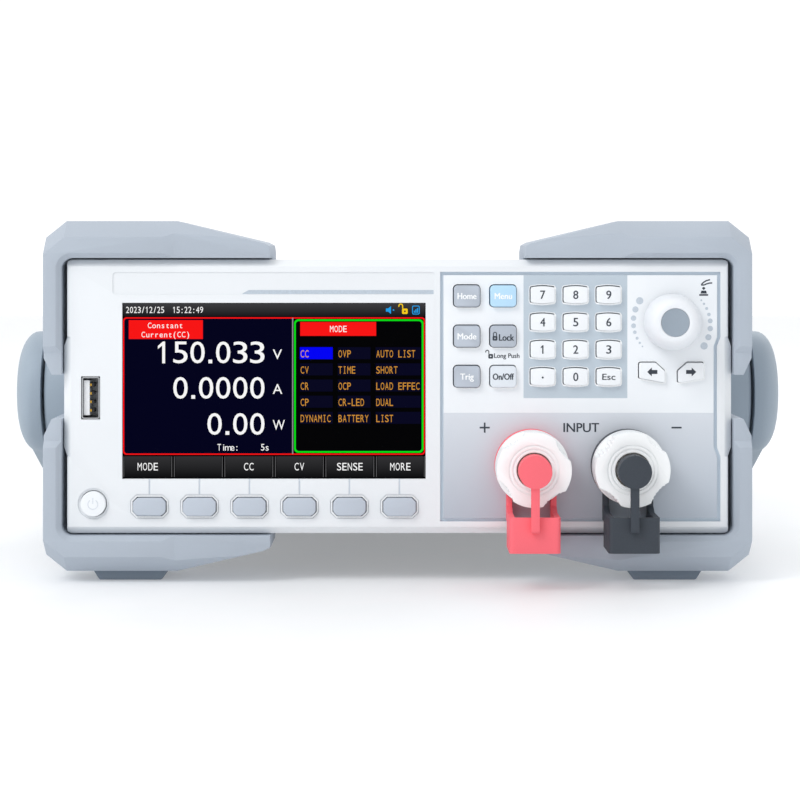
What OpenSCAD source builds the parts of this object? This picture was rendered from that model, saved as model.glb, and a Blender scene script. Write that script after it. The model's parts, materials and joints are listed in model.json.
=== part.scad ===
// DC electronic load: a half-rack bench instrument with a colour screen, a keypad, a push knob,
// two binding posts with rubber covers, corner guards and a carrying handle that folds under the case.
// Millimetres. Z = 0 is the table, the front panel faces -Y and X = 0 is the middle of the case.
// Panel coordinates: x to the right and z up from the middle of the front face, y back from that face.

/* [Screen] */
// Width of the screen window
window_w = 96.2; // [90:0.1:110]
// Height of the screen window
window_h = 55.8; // [52:0.1:66]
// How far the glass lies behind the front face
glass_setback = 1.2; // [0.8:0.1:2]
// Thickness of the display module
lcd_t = 4.5; // [3:0.1:6]
// Border of the display module at the sides of the window
lcd_side = 3.6; // [2:0.1:4.5]
// Border of the display module above the window
lcd_top = 6; // [2:0.1:8]
// Border of the display module below the window
lcd_foot = 2.6; // [1.5:0.1:3.5]

/* [Front panel] */
// Strip at the left of the window, with the socket and the power button
left_strip = 18.7; // [17:0.1:26]
// Gap between the window and the control field
mid_gap = 4.6; // [4:0.1:10]
// Rim at the right of the control field
right_rim = 3.7; // [3.4:0.1:8]
// Band above the window, with the name strip
top_band = 13.7; // [12.5:0.1:22]
// Band below the window, with the soft keys
key_band = 17.4; // [17:0.1:26]
// Thickness of the front plate
face_t = 3; // [2.4:0.1:4]
// Depth of the bezel from front to back
bezel_depth = 15; // [12:0.5:30]
// Corner radius of the bezel
bezel_r = 3; // [2:0.1:5]
// Bevel along the top and bottom edges of the face
face_bevel = 2.2; // [0.5:0.1:2.4]
// Bevel along the middle of the side edges
shoulder_bevel = 2.4; // [0.5:0.1:2.6]
// Half height of the full-width middle zone of the sides
shoulder_half = 16; // [14:0.5:24]
// How far the sides are let in beside the corner guards
guard_relief = 1.2; // [0.2:0.1:1.4]
// Bevel along the side edges beside the corner guards
relief_bevel = 0.5; // [0.3:0.1:1.2]
// Width of the name strip beyond each side of the window
name_over = 3; // [0:0.1:3.4]
// Height of the name strip
name_h = 7.1; // [5:0.1:7.5]
// Depth of the name strip's recess
name_depth = 0.3; // [0.2:0.05:0.6]

/* [Control field] */
// Width of the zone with the function keys
func_zone_w = 26.4; // [25:0.1:36]
// Width of the zone with the digit keys
num_zone_w = 32.9; // [32:0.1:44]
// Width of the zone with the knob
knob_zone_w = 29.5; // [28:0.1:40]
// Rim of the panel above and below the field
field_rim = 3.9; // [3.2:0.1:5]
// Width of the groove around the overlay
field_groove = 1.05; // [0.5:0.05:1.5]
// How far the field's right side is notched in at the middle
field_notch = 1.1; // [0.5:0.1:2]
// Thickness of the overlay
overlay_t = 1; // [0.6:0.05:1.2]

/* [Keys] */
// Gap between a key and its opening
key_gap = 0.25; // [0.15:0.05:0.4]
// Travel of a key
key_travel = 0.8; // [0.4:0.1:1.5]
// How far the keys stand out of the face
key_rise = 1.6; // [1.2:0.1:3]
// Thickness of a key's flange behind the plate
flange_t = 1; // [0.8:0.1:1.5]
// Width of that flange beyond the key
flange_edge = 0.75; // [0.5:0.05:0.9]
// Length of the stem behind the flange
stem_l = 1; // [0.5:0.1:3]
// Radius of the stem
stem_r = 1.5; // [1:0.1:2]
// Width of a soft key
soft_w = 10.3; // [9:0.05:12]
// Height of a soft key
soft_h = 5.65; // [5:0.05:6.5]
// Corner cut of a soft key
soft_cut = 1.3; // [0.6:0.1:2]
// How much narrower the row of soft keys is than the window
soft_narrow = 1.16; // [0:0.02:3]
// Height of the soft keys above the panel's lower edge
soft_up = 8.65; // [8:0.05:9]
// Dished margin around a soft key
soft_dish = 0.95; // [0.4:0.05:1]
// Width of a function key
func_w = 8.25; // [7:0.05:9]
// Height of a function key
func_h = 6.8; // [5:0.05:8]
// Corner radius of a function key
func_r = 1.2; // [0.5:0.1:2]
// Sideways distance between function keys
func_pitch_x = 11.5; // [11.2:0.05:13]
// Upward distance between function keys
func_pitch_z = 12.75; // [11:0.05:13]
// Distance of the top function keys below the field's edge
func_down = 7.65; // [7:0.05:9]
// Width of a digit key
num_w = 7.5; // [6:0.05:8.2]
// Height of a digit key
num_h = 5.45; // [4.5:0.05:6.4]
// Corner radius of a digit key
num_r = 1; // [0.4:0.1:1.5]
// Bow of a digit key's upper and lower edges
num_bow = 0.4; // [0.2:0.05:0.8]
// Sideways distance between digit keys
num_pitch_x = 10.45; // [10.2:0.05:10.8]
// Upward distance between digit keys
num_pitch_z = 8.65; // [8.5:0.05:9.2]
// Distance of the top digit keys below the field's edge
num_down = 7.25; // [6:0.05:8]
// Width of an arrow key
arrow_w = 8.1; // [7:0.1:9]
// Gap between the two arrow keys
arrow_gap = 4.2; // [3:0.1:5]
// Height of an arrow key at its outer side
arrow_h = 4.9; // [4.5:0.1:6.5]
// Fall of an arrow key's slanted upper edge
arrow_slope = 2.6; // [1.5:0.1:3]
// Fall of an arrow key's lower edge
arrow_drop = 1.5; // [0.5:0.1:2]
// Corner radius of an arrow key
arrow_r = 0.6; // [0.3:0.1:1]
// Distance of the arrow keys' top edge below the field's edge
arrow_down = 28.75; // [28:0.05:30]
// Radius of the power button
power_r = 4; // [3:0.1:4.6]
// Distance of the power button from the panel's left edge
power_in = 9.6; // [8.5:0.1:10]
// Height of the power button above the panel's lower edge
power_up = 9.55; // [9:0.05:10.5]

/* [Knob] */
// Radius of the knob
knob_r = 8.9; // [7:0.1:10.5]
// How far the knob stands out of the face
knob_h = 12.7; // [11:0.1:18]
// Gap behind the knob, which leaves room for the push
knob_lift = 1.4; // [1.2:0.1:2.5]
// Push travel of the knob
knob_travel = 0.8; // [0.4:0.1:1]
// Radius of the concave insert
insert_r = 4.4; // [3.6:0.1:5]
// Thickness of the insert at its rim
insert_t = 1.4; // [1:0.1:2]
// Radius of the encoder shaft
shaft_r = 3; // [2:0.1:3.2]
// Distance of the knob from the left of its zone
knob_in = 13.9; // [13.5:0.1:16]
// Distance of the knob below the field's edge
knob_down = 15.8; // [15:0.1:17]

/* [Socket] */
// Width of the USB socket's shell
usb_w = 5.65; // [5.1:0.05:6.2]
// Height of the USB socket's shell
usb_h = 13.25; // [12.5:0.05:14]
// Length of the USB socket's shell
usb_l = 14; // [13:0.5:18]
// Distance of the USB socket from the panel's left edge
usb_in = 8.7; // [8:0.1:10]

/* [Binding posts] */
// Distance between the two posts
post_pitch = 30.5; // [27:0.1:36]
// Height of the posts above the field's lower edge
post_up = 17.8; // [17:0.1:20]
// Radius of the cover's collar
collar_r = 11.6; // [11:0.1:13]
// Thickness of the collar
collar_t = 4; // [3:0.1:5]
// Radius of the nut
nut_r = 11.6; // [10:0.1:12.5]
// Length of the nut
nut_l = 15; // [12:0.1:18]
// Depth of the four hollows in the nut's grip
nut_hollow = 1.7; // [1:0.1:3]
// Thickness of the nut's round flange
nut_flange = 3.5; // [2:0.1:5]
// How far a nut unscrews
nut_travel = 5; // [3:0.1:5]
// Radius of the nut's front hole
nut_hole_r = 5.5; // [5.3:0.1:6.5]
// Thickness of the washer
washer_t = 1; // [0.6:0.1:2]
// Radius of the washer
washer_r = 9; // [7:0.1:10]
// Radius of the stud
stud_r = 4; // [3.5:0.1:4.5]
// Radius of the plug socket in the stud
socket_r = 2; // [1.8:0.05:2.2]
// How far the stud's tip lies behind the nut's front
stud_setback = 2; // [1.5:0.1:4]
// Radius of the rubber plug's head
plug_r = 5.1; // [4.6:0.1:5.2]
// Length of the plug's head in front of the strap's back
plug_head = 2.7; // [2.2:0.1:5]
// Width of the strap
strap_w = 2.6; // [2:0.1:4]
// Thickness of the strap
strap_t = 2; // [1.2:0.1:2.2]
// Distance of the strap's root below the post
strap_drop = 17.8; // [17:0.1:20]
// Width of the cover's sleeve
sleeve_w = 15.8; // [15:0.1:18]
// Height of the cover's sleeve
sleeve_h = 11; // [8:0.1:12]
// Gap between the nut and the top of the sleeve
sleeve_gap = 2.6; // [1.5:0.1:4]
// Radius of the sleeve's front corners
sleeve_r = 1.5; // [0.5:0.1:2]
// How much lower the sleeve's back wall is than its front wall
sleeve_notch = 3.2; // [0:0.1:5]
// Wall of the sleeve
sleeve_t = 1.8; // [1.5:0.1:3]

/* [Case] */
// Length from the front face to the back of the rear panel
case_len = 355; // [320:1:400]
// How far the case is let in behind the bezel's sides
case_inset = 2.4; // [2.2:0.1:3]
// Thickness of the cover and chassis sheet
sheet_t = 1.2; // [0.8:0.1:1.6]
// Bend radius of the cover
bend_r = 2.5; // [2:0.1:5]
// Height of the chassis flanges
flange_h = 12; // [10:0.5:20]
// Thickness of the rear panel
rear_t = 1.5; // [1:0.1:2.5]
// Height of a vent slot
vent_h = 18; // [8:0.5:22]
// Width of a vent slot
vent_w = 3; // [2:0.1:4]
// Distance between vent slots
vent_pitch = 8; // [6:0.1:10]

/* [Corner guards] */
// Thickness of a guard beside the panel
guard_side = 6; // [4.5:0.1:8]
// Thickness of a guard above the panel
guard_rise = 12.3; // [11:0.1:16]
// How far the front guards stand ahead of the face
guard_front = 3; // [2:0.1:3.5]
// How far the rear guards stand behind the rear panel
guard_rear = 8; // [4:0.5:16]
// Length of a guard from front to back
guard_depth = 42; // [36:0.5:60]
// Reach of a guard's lying arm from the corner
guard_reach = 71.6; // [60:0.1:80]
// Length of a guard's flat top from the corner to its slope
guard_flat = 41.8; // [35:0.1:50]
// Reach of a rear guard's lying arm from the corner
rear_reach = 54; // [48:0.1:80]
// Length of a rear guard's flat top from the corner to its slope
rear_flat = 32; // [28:0.1:50]
// Bevel along a guard's inner front edge
guard_lip = 1.6; // [0.5:0.1:1.6]
// Height of the gap between the standing arms
guard_split = 14; // [12:0.1:30]
// Drop of the front edge below the guard's top
guard_slope_z = 5.2; // [3:0.1:6]
// Depth of that sloping front edge
guard_slope_y = 7.5; // [5:0.1:10]
// Step back of the arms' tips
guard_step = 1.7; // [0.8:0.1:2]
// Height of a foot
foot_h = 3.25; // [2.5:0.05:6]
// Width of a foot at its top
foot_w = 24; // [18:0.5:30]
// Length of a foot
foot_l = 22; // [14:0.5:26]

/* [Handle] */
// Distance of the handle's pivot behind the face
pivot_in = 75; // [65:1:90]
// Distance of the pivot below the panel's middle
pivot_drop = 2; // [0:0.1:4]
// Radius of the fixed boss
boss_r = 20; // [16:0.1:22]
// How far the boss reaches beyond the guards
boss_reach = 8; // [6:0.1:12]
// Radius of the handle's disc
disc_r = 20.8; // [16:0.1:22]
// Thickness of the disc's rim
disc_rim = 2.9; // [1:0.1:5]
// Height of the disc's dome
disc_dome = 6.5; // [3:0.1:8]
// Radius of the disc's flat outer face
disc_face_r = 9; // [6:0.1:16]
// Radius of the pivot pin
pin_r = 6; // [4:0.1:8]
// Length of the pivot pin
pin_l = 9; // [6:0.1:12]
// Distance from the pivot to the crossbar
arm_l = 128; // [122:1:150]
// Half width of an arm at the pivot
arm_root_r = 14; // [10:0.1:16]
// Thickness of an arm
arm_t = 6.5; // [5:0.1:7.5]
// Thickness of the crossbar
bar_t = 11; // [8:0.1:11.5]
// Width of the crossbar
bar_w = 19; // [14:0.1:22]
// Gap between the crossbar and the table
bar_up = 3; // [2:0.1:3.4]

/* [Rear and inside] */
// Size of the fan
fan_w = 70; // [60:1:72]
// Depth of the fan
fan_t = 25; // [20:1:30]
// Distance of the fan's middle from the case's right side
fan_in = 46; // [44:1:60]
// Number of fan blades
fan_blades = 7; // [5:1:11]
// Width of the mains inlet's flange
inlet_w = 50; // [46:0.5:56]
// Height of the mains inlet's flange
inlet_h = 28; // [24:0.5:32]
// Distance of the inlet's middle from the case's left side
inlet_in = 34; // [30:0.5:40]
// Distance of the inlet's middle below the panel's middle
inlet_drop = 21; // [19:0.5:23]
// Thickness of the circuit boards
board_t = 1.6; // [1:0.1:2.4]
// Height of the main board above the chassis floor
standoff_h = 6; // [4:0.5:8]
// Height of the heatsink
sink_h = 62; // [50:1:64]
// Width of the heatsink
sink_w = 72; // [50:1:74]
// Length of the heatsink
sink_l = 140; // [100:1:160]
// Distance between the heatsink's fins
fin_pitch = 6; // [4:0.5:10]
// Radius of the case screws
screw_r = 1.5; // [1.2:0.1:2]

/* [Hidden] */
$fn = 64;

// Colours
shell_white = [0.95, 0.96, 0.97];
guard_grey = [0.72, 0.76, 0.8];
hub_grey = [0.65, 0.69, 0.74];
key_grey = [0.74, 0.76, 0.81];
key_blue = [0.74, 0.87, 0.98];
rubber_red = [0.9, 0.3, 0.33];
rubber_black = [0.24, 0.27, 0.3];
metal = [0.78, 0.78, 0.76];
brass = [0.8, 0.66, 0.35];
circuit_green = [0.1, 0.4, 0.25];
dark = [0.15, 0.16, 0.18];

// Clearances
eps = 0.01;
run_gap = 0.05;
fold_gap = 0.1;
seat_gap = 0.2;
loose_gap = 0.3;

// Panel layout
field_w = func_zone_w + num_zone_w + knob_zone_w;
panel_w = left_strip + window_w + mid_gap + field_w + right_rim;
panel_h = top_band + window_h + key_band;
panel_left = -panel_w / 2;
panel_top = panel_h / 2;
window_left = panel_left + left_strip;
window_x = window_left + window_w / 2;
window_z = panel_top - top_band - window_h / 2;
lcd_w = window_w + 2 * lcd_side;
lcd_h = window_h + lcd_top + lcd_foot;
lcd_z = window_z + (lcd_top - lcd_foot) / 2;
field_left = window_left + window_w + mid_gap;
field_right = field_left + field_w;
field_top = panel_top - field_rim;
name_lift = 0.4;
name_r = 1;
name_z = (panel_top - face_bevel + window_z + window_h / 2) / 2 + name_lift;
notch_ramp = 3;

// Key places
soft_z = -panel_top + soft_up;
soft_pitch = (window_w - soft_narrow) / 6;
soft_shift = 0.2;
soft_x = window_x - 2.5 * soft_pitch + soft_shift;
soft_groove_w = 0.5;
dish_depth = 0.5;
line_depth = 0.3;
func_shift = 1;
func_x = field_left + func_zone_w / 2 + func_shift - func_pitch_x / 2;
func_z = field_top - func_down;
num_x = field_left + func_zone_w + num_zone_w / 2 - num_pitch_x;
num_z = field_top - num_down;
knob_x = field_right - knob_zone_w + knob_in;
knob_z = field_top - knob_down;
arrow_z = field_top - arrow_down;
power_x = panel_left + power_in;
power_z = -panel_top + power_up;
usb_x = panel_left + usb_in;
usb_z = -0.4;
usb_wall = 0.35;
usb_r = 0.7;
usb_y = 0.3;
usb_floor = 4;
usb_back = 1;
tongue_w = 1.9;
tongue_side = 0.5;
tongue_in = 1.2;
tongue_end = 1.1;
soft_spots = [for (i = [0:5]) [soft_x + i * soft_pitch, soft_z]];
func_spots = [for (r = [0:2], c = [0:1]) [func_x + c * func_pitch_x, func_z - r * func_pitch_z]];
num_spots = [for (r = [0:3], c = [0:2]) [num_x + c * num_pitch_x, num_z - r * num_pitch_z]];
arrow_mid = (arrow_gap + arrow_w) / 2;
arrow_top = arrow_w * 0.64;
arrow_spots = [for (s = [-1, 1]) [knob_x + s * arrow_mid, arrow_z - arrow_h / 2]];
key_spots = concat(soft_spots, func_spots, num_spots, arrow_spots, [[power_x, power_z]]);

// Depths behind the face
stem_y = face_t + flange_t + stem_l;
switch_y = stem_y + key_travel + seat_gap;
switch_h = 3.5;
switch_w = 4.6;
plunger_r = 1.2;
plunger_l = 1;
board_y = switch_y + switch_h;
encoder_w = 12;
encoder_y = face_t + loose_gap;
encoder_floor = 1.2;
shaft_back = board_y - encoder_floor - knob_travel - seat_gap;
knob_wall = 2;
shaft_front = -(knob_h - insert_t - knob_wall);
board_margin = 5;
mount_boss_r = 3;
mount_boss_in = 8;
field_boss_in = 4.6;
left_boss_x = -panel_w / 2 + mount_boss_in;
right_boss_x = field_right - field_boss_in;
mount_bosses = [
    [left_boss_x, panel_top * 0.5], [left_boss_x, -panel_top * 0.44],
    [field_left + field_boss_in, -panel_top * 0.57],
    [right_boss_x, -panel_top * 0.7], [right_boss_x, panel_top * 0.84]
];

// Binding posts: heights are counted forward from the face
post_z = -field_top + post_up;
post_shift = 0.4;
post_mid = field_left + field_w / 2 - post_shift;
washer_h = collar_t;
nut_h = washer_h + washer_t;
nut_front = nut_h + nut_l;
stud_tip = nut_front - stud_setback;
socket_depth = stud_tip - nut_h - loose_gap;
stud_collar_r = stud_r + 3;
stud_collar_t = 2;
thread_l = 3;
strap_back = nut_front + nut_travel + loose_gap;
sleeve_front = strap_back - loose_gap;
plug_front = strap_back + plug_head;
plug_nose_r = stud_r - fold_gap;
plug_lap = 0.1;
plug_gap = 0.4;
sleeve_stand = 2;
sleeve_back = guard_front + sleeve_stand;
sleeve_top = -nut_r - sleeve_gap;
sleeve_bend = 1.7;
sleeve_tail = 3;
stud_tail = 28;
tab_y = 23;
tab_t = 2;
tab_w = 13;
// Grip of the nut: hollows with fine ribs, and two ring grooves in the front
hollow_r = nut_r * 0.86;
hollow_x = nut_r - nut_hollow + hollow_r;
rib_r = 0.35;
rib_step = 8;
ring_deep = 0.4;
ring_w = 0.5;
ring_spots = [nut_hole_r + 0.7, nut_hole_r + 1.9];

// Case
case_w = panel_w - 2 * case_inset;
case_h = panel_h - 2 * case_inset;
skirt_t = case_inset - seat_gap;
cover_in = 3;
vent_start = 15;
vent_end = 10;
vent_lift = 4;
case_y = face_t + cover_in;
tray_w = case_w - 2 * sheet_t - 2 * fold_gap;
floor_z = -case_h / 2 + sheet_t;
roof_z = case_h / 2 - sheet_t;

// Guards, feet and table
guard_x = panel_w / 2 + guard_side;
guard_z = panel_top + guard_rise;
guard_gap_x = 0.4;
guard_gap_z = 0.5;
guard_cut = 6.6;
guard_corner = bezel_r + guard_gap_x;
guard_nip = 1.8;
guard_heel = 7;
guard_tip_z = panel_top + guard_rise * 0.46;
guard_tip_drop = 0.6;
guard_heel_drop = 4;
guard_heel_tip = 2;
guard_shoulder = guard_cut * 0.8;
guard_end_h = 5.3;
guard_end_w = 2.5;
guard_inside = [20, 15];
guard_ramp_x = 4;
guard_ramp_z = 2;
guard_pad_x = 4.5;
guard_pad_z = 9;
foot_side = 26.5;
foot_taper = 2;
foot_x = guard_x - foot_side;
foot_in = 11;
panel_z = guard_z + foot_h;
face_y = (plug_front - case_len - guard_rear) / 2;

// Handle
boss_end = guard_x + boss_reach;
hub_gap = 1;
disc_in = boss_end + hub_gap;
hub_bevel = 1;
tip_r = bar_t / 2 + 0.8;
arm_in = disc_in + disc_rim + disc_dome - arm_t - hub_gap;
bar_z = bar_up + bar_t / 2 - panel_z;
handle_rest = asin((-pivot_drop - bar_z) / arm_l);

// Rear panel places
fan_x = case_w / 2 - fan_in;
fan_y = case_len - rear_t - fan_t;
fan_wall = 2;
fan_bore = fan_w / 2 - fan_wall;
fan_corner = 3;
fan_spoke = 4;
fan_deep = fan_t - 6;
blade_t = 1.6;
blade_lean = 42;
rotor_in = 1.5;
grille_pitch = 6;
grille_slot = 4;
fan_hub_r = fan_w * 0.21;
fan_shaft_r = 1.5;
fan_screw = fan_w * 0.43;
inlet_x = -case_w / 2 + inlet_in;
inlet_z = -inlet_drop;
inlet_mouth_w = 24;
inlet_mouth_h = 16;
inlet_mouth_cut = 4;
inlet_mouth_l = 16;
inlet_ear = 10;
inlet_lip = 3;
inlet_flange = 2.5;
inlet_r = 4;
inlet_body_w = inlet_w - 2 * inlet_ear;
inlet_body_h = inlet_h - 2 * inlet_lip;
inlet_depth = 22;
inlet_pins = [[-7, -2], [0, 2], [7, -2]];
inlet_screw = (inlet_w + inlet_body_w) / 4;
card_z = 10;
card_depth = 60;
serial_in = 27;
lan_step = 31;
usb_b_step = 19;
sense_step = 22;
serial_x = -case_w / 2 + serial_in;
lan_x = serial_x + lan_step;
usb_b_x = lan_x + usb_b_step;
sense_x = inlet_x + inlet_w / 2 + sense_step;
// Width and height of each connector that passes through the rear panel
serial_size = [19, 10.6];
lan_size = [16, 13.5];
usb_b_size = [12, 11];
sense_size = [25.4, 10];
sense_z = inlet_z;
screw_gap = 14;
first_screw = guard_depth - guard_front + screw_gap;
last_screw = case_len + guard_rear - guard_depth - screw_gap;
screw_rows = [first_screw, (first_screw + last_screw) / 2, last_screw];
cover_screw_z = floor_z + flange_h / 2;
board_z = floor_z + standoff_h;
board_top = board_z + board_t;
board_side = 3;
board_w = tray_w - 2 * sheet_t - 2 * board_side;
board_front = tab_y - 3;
board_back = fan_y - 8;
standoff_r = 4;
standoff_in = 8;
standoff_front = 30;
// Transformer and capacitors on the main board
transformer = [58, 66, 46];
transformer_in = 10;
transformer_y = (board_front + board_back) / 2 + 1;
capacitor_r = 11;
capacitor_h = 34;
capacitor_pitch = 28;
capacitor_gap = 13;
capacitor_x = -board_w / 2 + 25;
capacitor_y = transformer_y - capacitor_gap - capacitor_r;
cover_screw_l = 5;
fan_screw_l = 12;
inlet_screw_l = 7.5;
sink_gap = 10;
sink_back = 9;
fin_t = 2;

module on_panel() translate([0, face_y, panel_z]) children();

// An outline in x and z, extruded from y0 back to y1
module plate(y0, y1) translate([0, y1, 0]) rotate([90, 0, 0]) linear_extrude(y1 - y0) children();

// An outline in y and z, extruded from x0 to x1
module along_x(x0, x1) translate([x0, 0, 0]) rotate([90, 0, 90]) linear_extrude(x1 - x0) children();

// A profile of radius and height, turned about the y direction with its height to the front
module turned() rotate([90, 0, 0]) rotate_extrude() children();

// A round bar along y
module rod(r, y0, y1) translate([0, y1, 0]) rotate([90, 0, 0]) cylinder(r = r, h = y1 - y0);

module at(p) translate([p[0], 0, p[1]]) children();

module rounded(w, h, r) {
    square([w - 2 * r, h], center = true);
    square([w, h - 2 * r], center = true);
    for (sx = [-1, 1], sz = [-1, 1]) translate([sx * (w / 2 - r), sz * (h / 2 - r)]) circle(r);
}

// Outlines of the keys, grown on every side by g
module soft_outline(g) {
    a = soft_w / 2 + g;
    b = soft_h / 2 + g;
    c = soft_cut + g * (2 - sqrt(2));
    polygon([
        [c - a, -b], [a - c, -b], [a, c - b], [a, b - c],
        [a - c, b], [c - a, b], [-a, b - c], [-a, c - b]
    ]);
}

module func_outline(g) rounded(func_w + 2 * g, func_h + 2 * g, func_r + g);

module num_outline(g) {
    bow_r = (num_w * num_w / 4 + num_bow * num_bow) / (2 * num_bow);
    intersection() {
        rounded(num_w + 2 * g, num_h + 2 * g + 2 * eps, num_r + g);
        translate([0, num_h / 2 - bow_r]) circle(bow_r + g);
        translate([0, bow_r - num_h / 2]) circle(bow_r + g);
    }
}

// side is -1 for the left arrow and 1 for the right one; the origin is the middle of the key
module arrow_outline(side, g) {
    a = arrow_w / 2;
    b = arrow_h / 2;
    corners = [[-a, b], [arrow_top - a, b], [a, b - arrow_slope], [a, -b - arrow_drop], [-a, -b]];
    offset(r = arrow_r + g, $fn = 32) offset(delta = -arrow_r)
        polygon([for (p = corners) [-side * p[0], p[1]]]);
}

// A key: children are its cap outline and its flange outline
module key(p, colour) color(colour) on_panel() at(p) {
    plate(-key_rise, face_t + eps) children(0);
    plate(face_t, face_t + flange_t) children(1);
    rod(stem_r, face_t + flange_t - eps, stem_y);
}

module softkey(i) key(soft_spots[i], key_grey) {
    soft_outline(0);
    soft_outline(flange_edge);
}

module func_key(i, colour) key(func_spots[i], colour) {
    func_outline(0);
    func_outline(flange_edge);
}

module num_key(i) key(num_spots[i], shell_white) {
    num_outline(0);
    num_outline(flange_edge);
}

module arrow_key(i) key(arrow_spots[i], shell_white) {
    arrow_outline(2 * i - 1, 0);
    arrow_outline(2 * i - 1, flange_edge);
}

module power_button() key([power_x, power_z], shell_white) {
    circle(power_r);
    circle(power_r + flange_edge);
}

// Every opening for a key of the control field, grown by g
module field_key_holes(g) {
    for (p = func_spots) translate(p) func_outline(g);
    for (p = num_spots) translate(p) num_outline(g);
    for (i = [0, 1]) translate(arrow_spots[i]) arrow_outline(2 * i - 1, g);
}

// Outline of the control field, let in by g and notched at the middle of its right side
module field_outline(g) {
    x1 = field_right - g;
    x2 = x1 - field_notch;
    z1 = shoulder_half;
    z2 = shoulder_half + notch_ramp;
    top = field_top - g;
    polygon([
        [field_left + g, top], [x1, top], [x1, z2], [x2, z1],
        [x2, -z1], [x1, -z2], [x1, -top], [field_left + g, -top]
    ]);
}

module post_holes(r) for (s = [-1, 1]) at([post_mid + s * post_pitch / 2, post_z]) rod(r, -1, stud_tail);

// The wedge that bevels an edge of the face: w out from the edge line, along +x
module bevel_wedge(edge, w, z0, z1) translate([0, 0, z0]) linear_extrude(z1 - z0)
    polygon([[edge - w - 1, -1], [edge + 1, -1], [edge + 1, w + 1]]);

module bezel_edges() {
    high = panel_top + 1;
    low = panel_top - face_bevel - 1;
    ramp = shoulder_half + notch_ramp;
    relief = panel_w / 2 - guard_relief;
    for (s = [0, 1]) mirror([0, 0, s]) along_x(-panel_w / 2 - 1, panel_w / 2 + 1)
        polygon([[-1, low], [face_bevel + 1, high], [-1, high]]);
    for (s = [0, 1]) mirror([s, 0, 0]) {
        bevel_wedge(panel_w / 2, shoulder_bevel, -ramp, ramp);
        for (t = [0, 1]) mirror([0, 0, t]) {
            bevel_wedge(relief, relief_bevel, ramp, high);
            plate(-1, bezel_depth + 1) polygon([
                [relief, high], [relief, ramp], [panel_w / 2 + eps, shoulder_half],
                [panel_w, shoulder_half], [panel_w, high]
            ]);
        }
    }
}

module front_bezel() color(shell_white) on_panel() difference() {
    union() {
        difference() {
            plate(0, bezel_depth) rounded(panel_w, panel_h, bezel_r);
            plate(face_t, bezel_depth + 1)
                square([panel_w - 2 * skirt_t, panel_h - 2 * skirt_t], center = true);
        }
        for (p = mount_bosses) at(p) rod(mount_boss_r, face_t - 1, board_y);
    }
    bezel_edges();
    at([window_x, window_z]) plate(-1, face_t) square([window_w, window_h], center = true);
    at([window_x, lcd_z]) plate(glass_setback, face_t + 1)
        square([lcd_w + 2 * seat_gap, lcd_h + 2 * seat_gap], center = true);
    at([window_x, name_z]) plate(-1, name_depth) rounded(window_w + 2 * name_over, name_h, name_r);
    plate(-1, overlay_t) field_outline(0);
    plate(0, face_t + 1) field_key_holes(key_gap);
    for (p = soft_spots) at(p) {
        plate(-1, face_t + 1) soft_outline(key_gap);
        plate(-1, dish_depth) soft_outline(soft_dish);
        plate(-1, line_depth) translate([-soft_groove_w / 2, 0])
            square([soft_groove_w, window_z - window_h / 2 - soft_z + 1]);
    }
    at([power_x, power_z]) {
        rod(power_r + key_gap, -1, face_t + 1);
        rod(power_r + soft_dish, -1, dish_depth);
    }
    at([usb_x, usb_z]) plate(-1, face_t + 1)
        square([usb_w + 2 * seat_gap, usb_h + 2 * seat_gap], center = true);
    at([knob_x, knob_z]) rod(shaft_r + loose_gap, -1, face_t + 1);
    post_holes(stud_r + seat_gap);
}

module control_overlay() color("gainsboro") on_panel() difference() {
    plate(0, overlay_t) field_outline(field_groove);
    plate(-1, overlay_t + 1) field_key_holes(key_gap + fold_gap);
    at([knob_x, knob_z]) rod(shaft_r + loose_gap, -1, overlay_t + 1);
    post_holes(stud_r + seat_gap);
}

module lcd_module() color(dark) on_panel() at([window_x, lcd_z])
    plate(glass_setback, glass_setback + lcd_t) square([lcd_w, lcd_h], center = true);

module front_board() color(circuit_green) on_panel() difference() {
    union() {
        plate(board_y, board_y + board_t)
            square([panel_w - 2 * board_margin, panel_h - 2 * board_margin], center = true);
        for (p = key_spots) at(p) {
            plate(switch_y + plunger_l, board_y + eps) square(switch_w, center = true);
            rod(plunger_r, switch_y, board_y);
        }
        at([knob_x, knob_z]) plate(encoder_y, board_y + eps) square(encoder_w, center = true);
    }
    at([knob_x, knob_z]) rod(shaft_r + run_gap, 0, board_y - encoder_floor);
    at([usb_x, usb_z]) plate(0, board_y + board_t + 1)
        square([usb_w + 2 * fold_gap, usb_h + 2 * fold_gap], center = true);
    post_holes(stud_r + 2);
}

module usb_socket() on_panel() at([usb_x, usb_z]) {
    back = usb_y + usb_l;
    inner_w = usb_w - 2 * usb_wall;
    inner_h = usb_h - 2 * usb_wall;
    color(metal) difference() {
        plate(usb_y, back) rounded(usb_w, usb_h, usb_r);
        plate(usb_y - 1, back - usb_back) rounded(inner_w, inner_h, usb_r - usb_wall);
    }
    color(shell_white) {
        plate(back - usb_floor, back - usb_back)
            square([inner_w - 2 * usb_r, inner_h - 2 * usb_r], center = true);
        translate([-tongue_side - tongue_w / 2, 0, 0]) plate(usb_y + tongue_in, back - usb_floor + eps)
            square([tongue_w, usb_h - 2 * tongue_end], center = true);
    }
}

module encoder_shaft() color(metal) on_panel() at([knob_x, knob_z]) rod(shaft_r, shaft_front, shaft_back);

module knob() color(shell_white) on_panel() at([knob_x, knob_z]) difference() {
    waist = knob_h * 0.42;
    crown_r = insert_r + 0.9;
    turned() polygon(concat(
        [[0, knob_lift], [knob_r, knob_lift]],
        [for (a = [0:10:90]) [crown_r + (knob_r - crown_r) * cos(a), waist + (knob_h - waist) * sin(a)]],
        [[0, knob_h]]
    ));
    rod(insert_r + run_gap, -knob_h - 1, -(knob_h - insert_t));
    rod(shaft_r + run_gap, shaft_front - fold_gap, 0);
}

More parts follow.
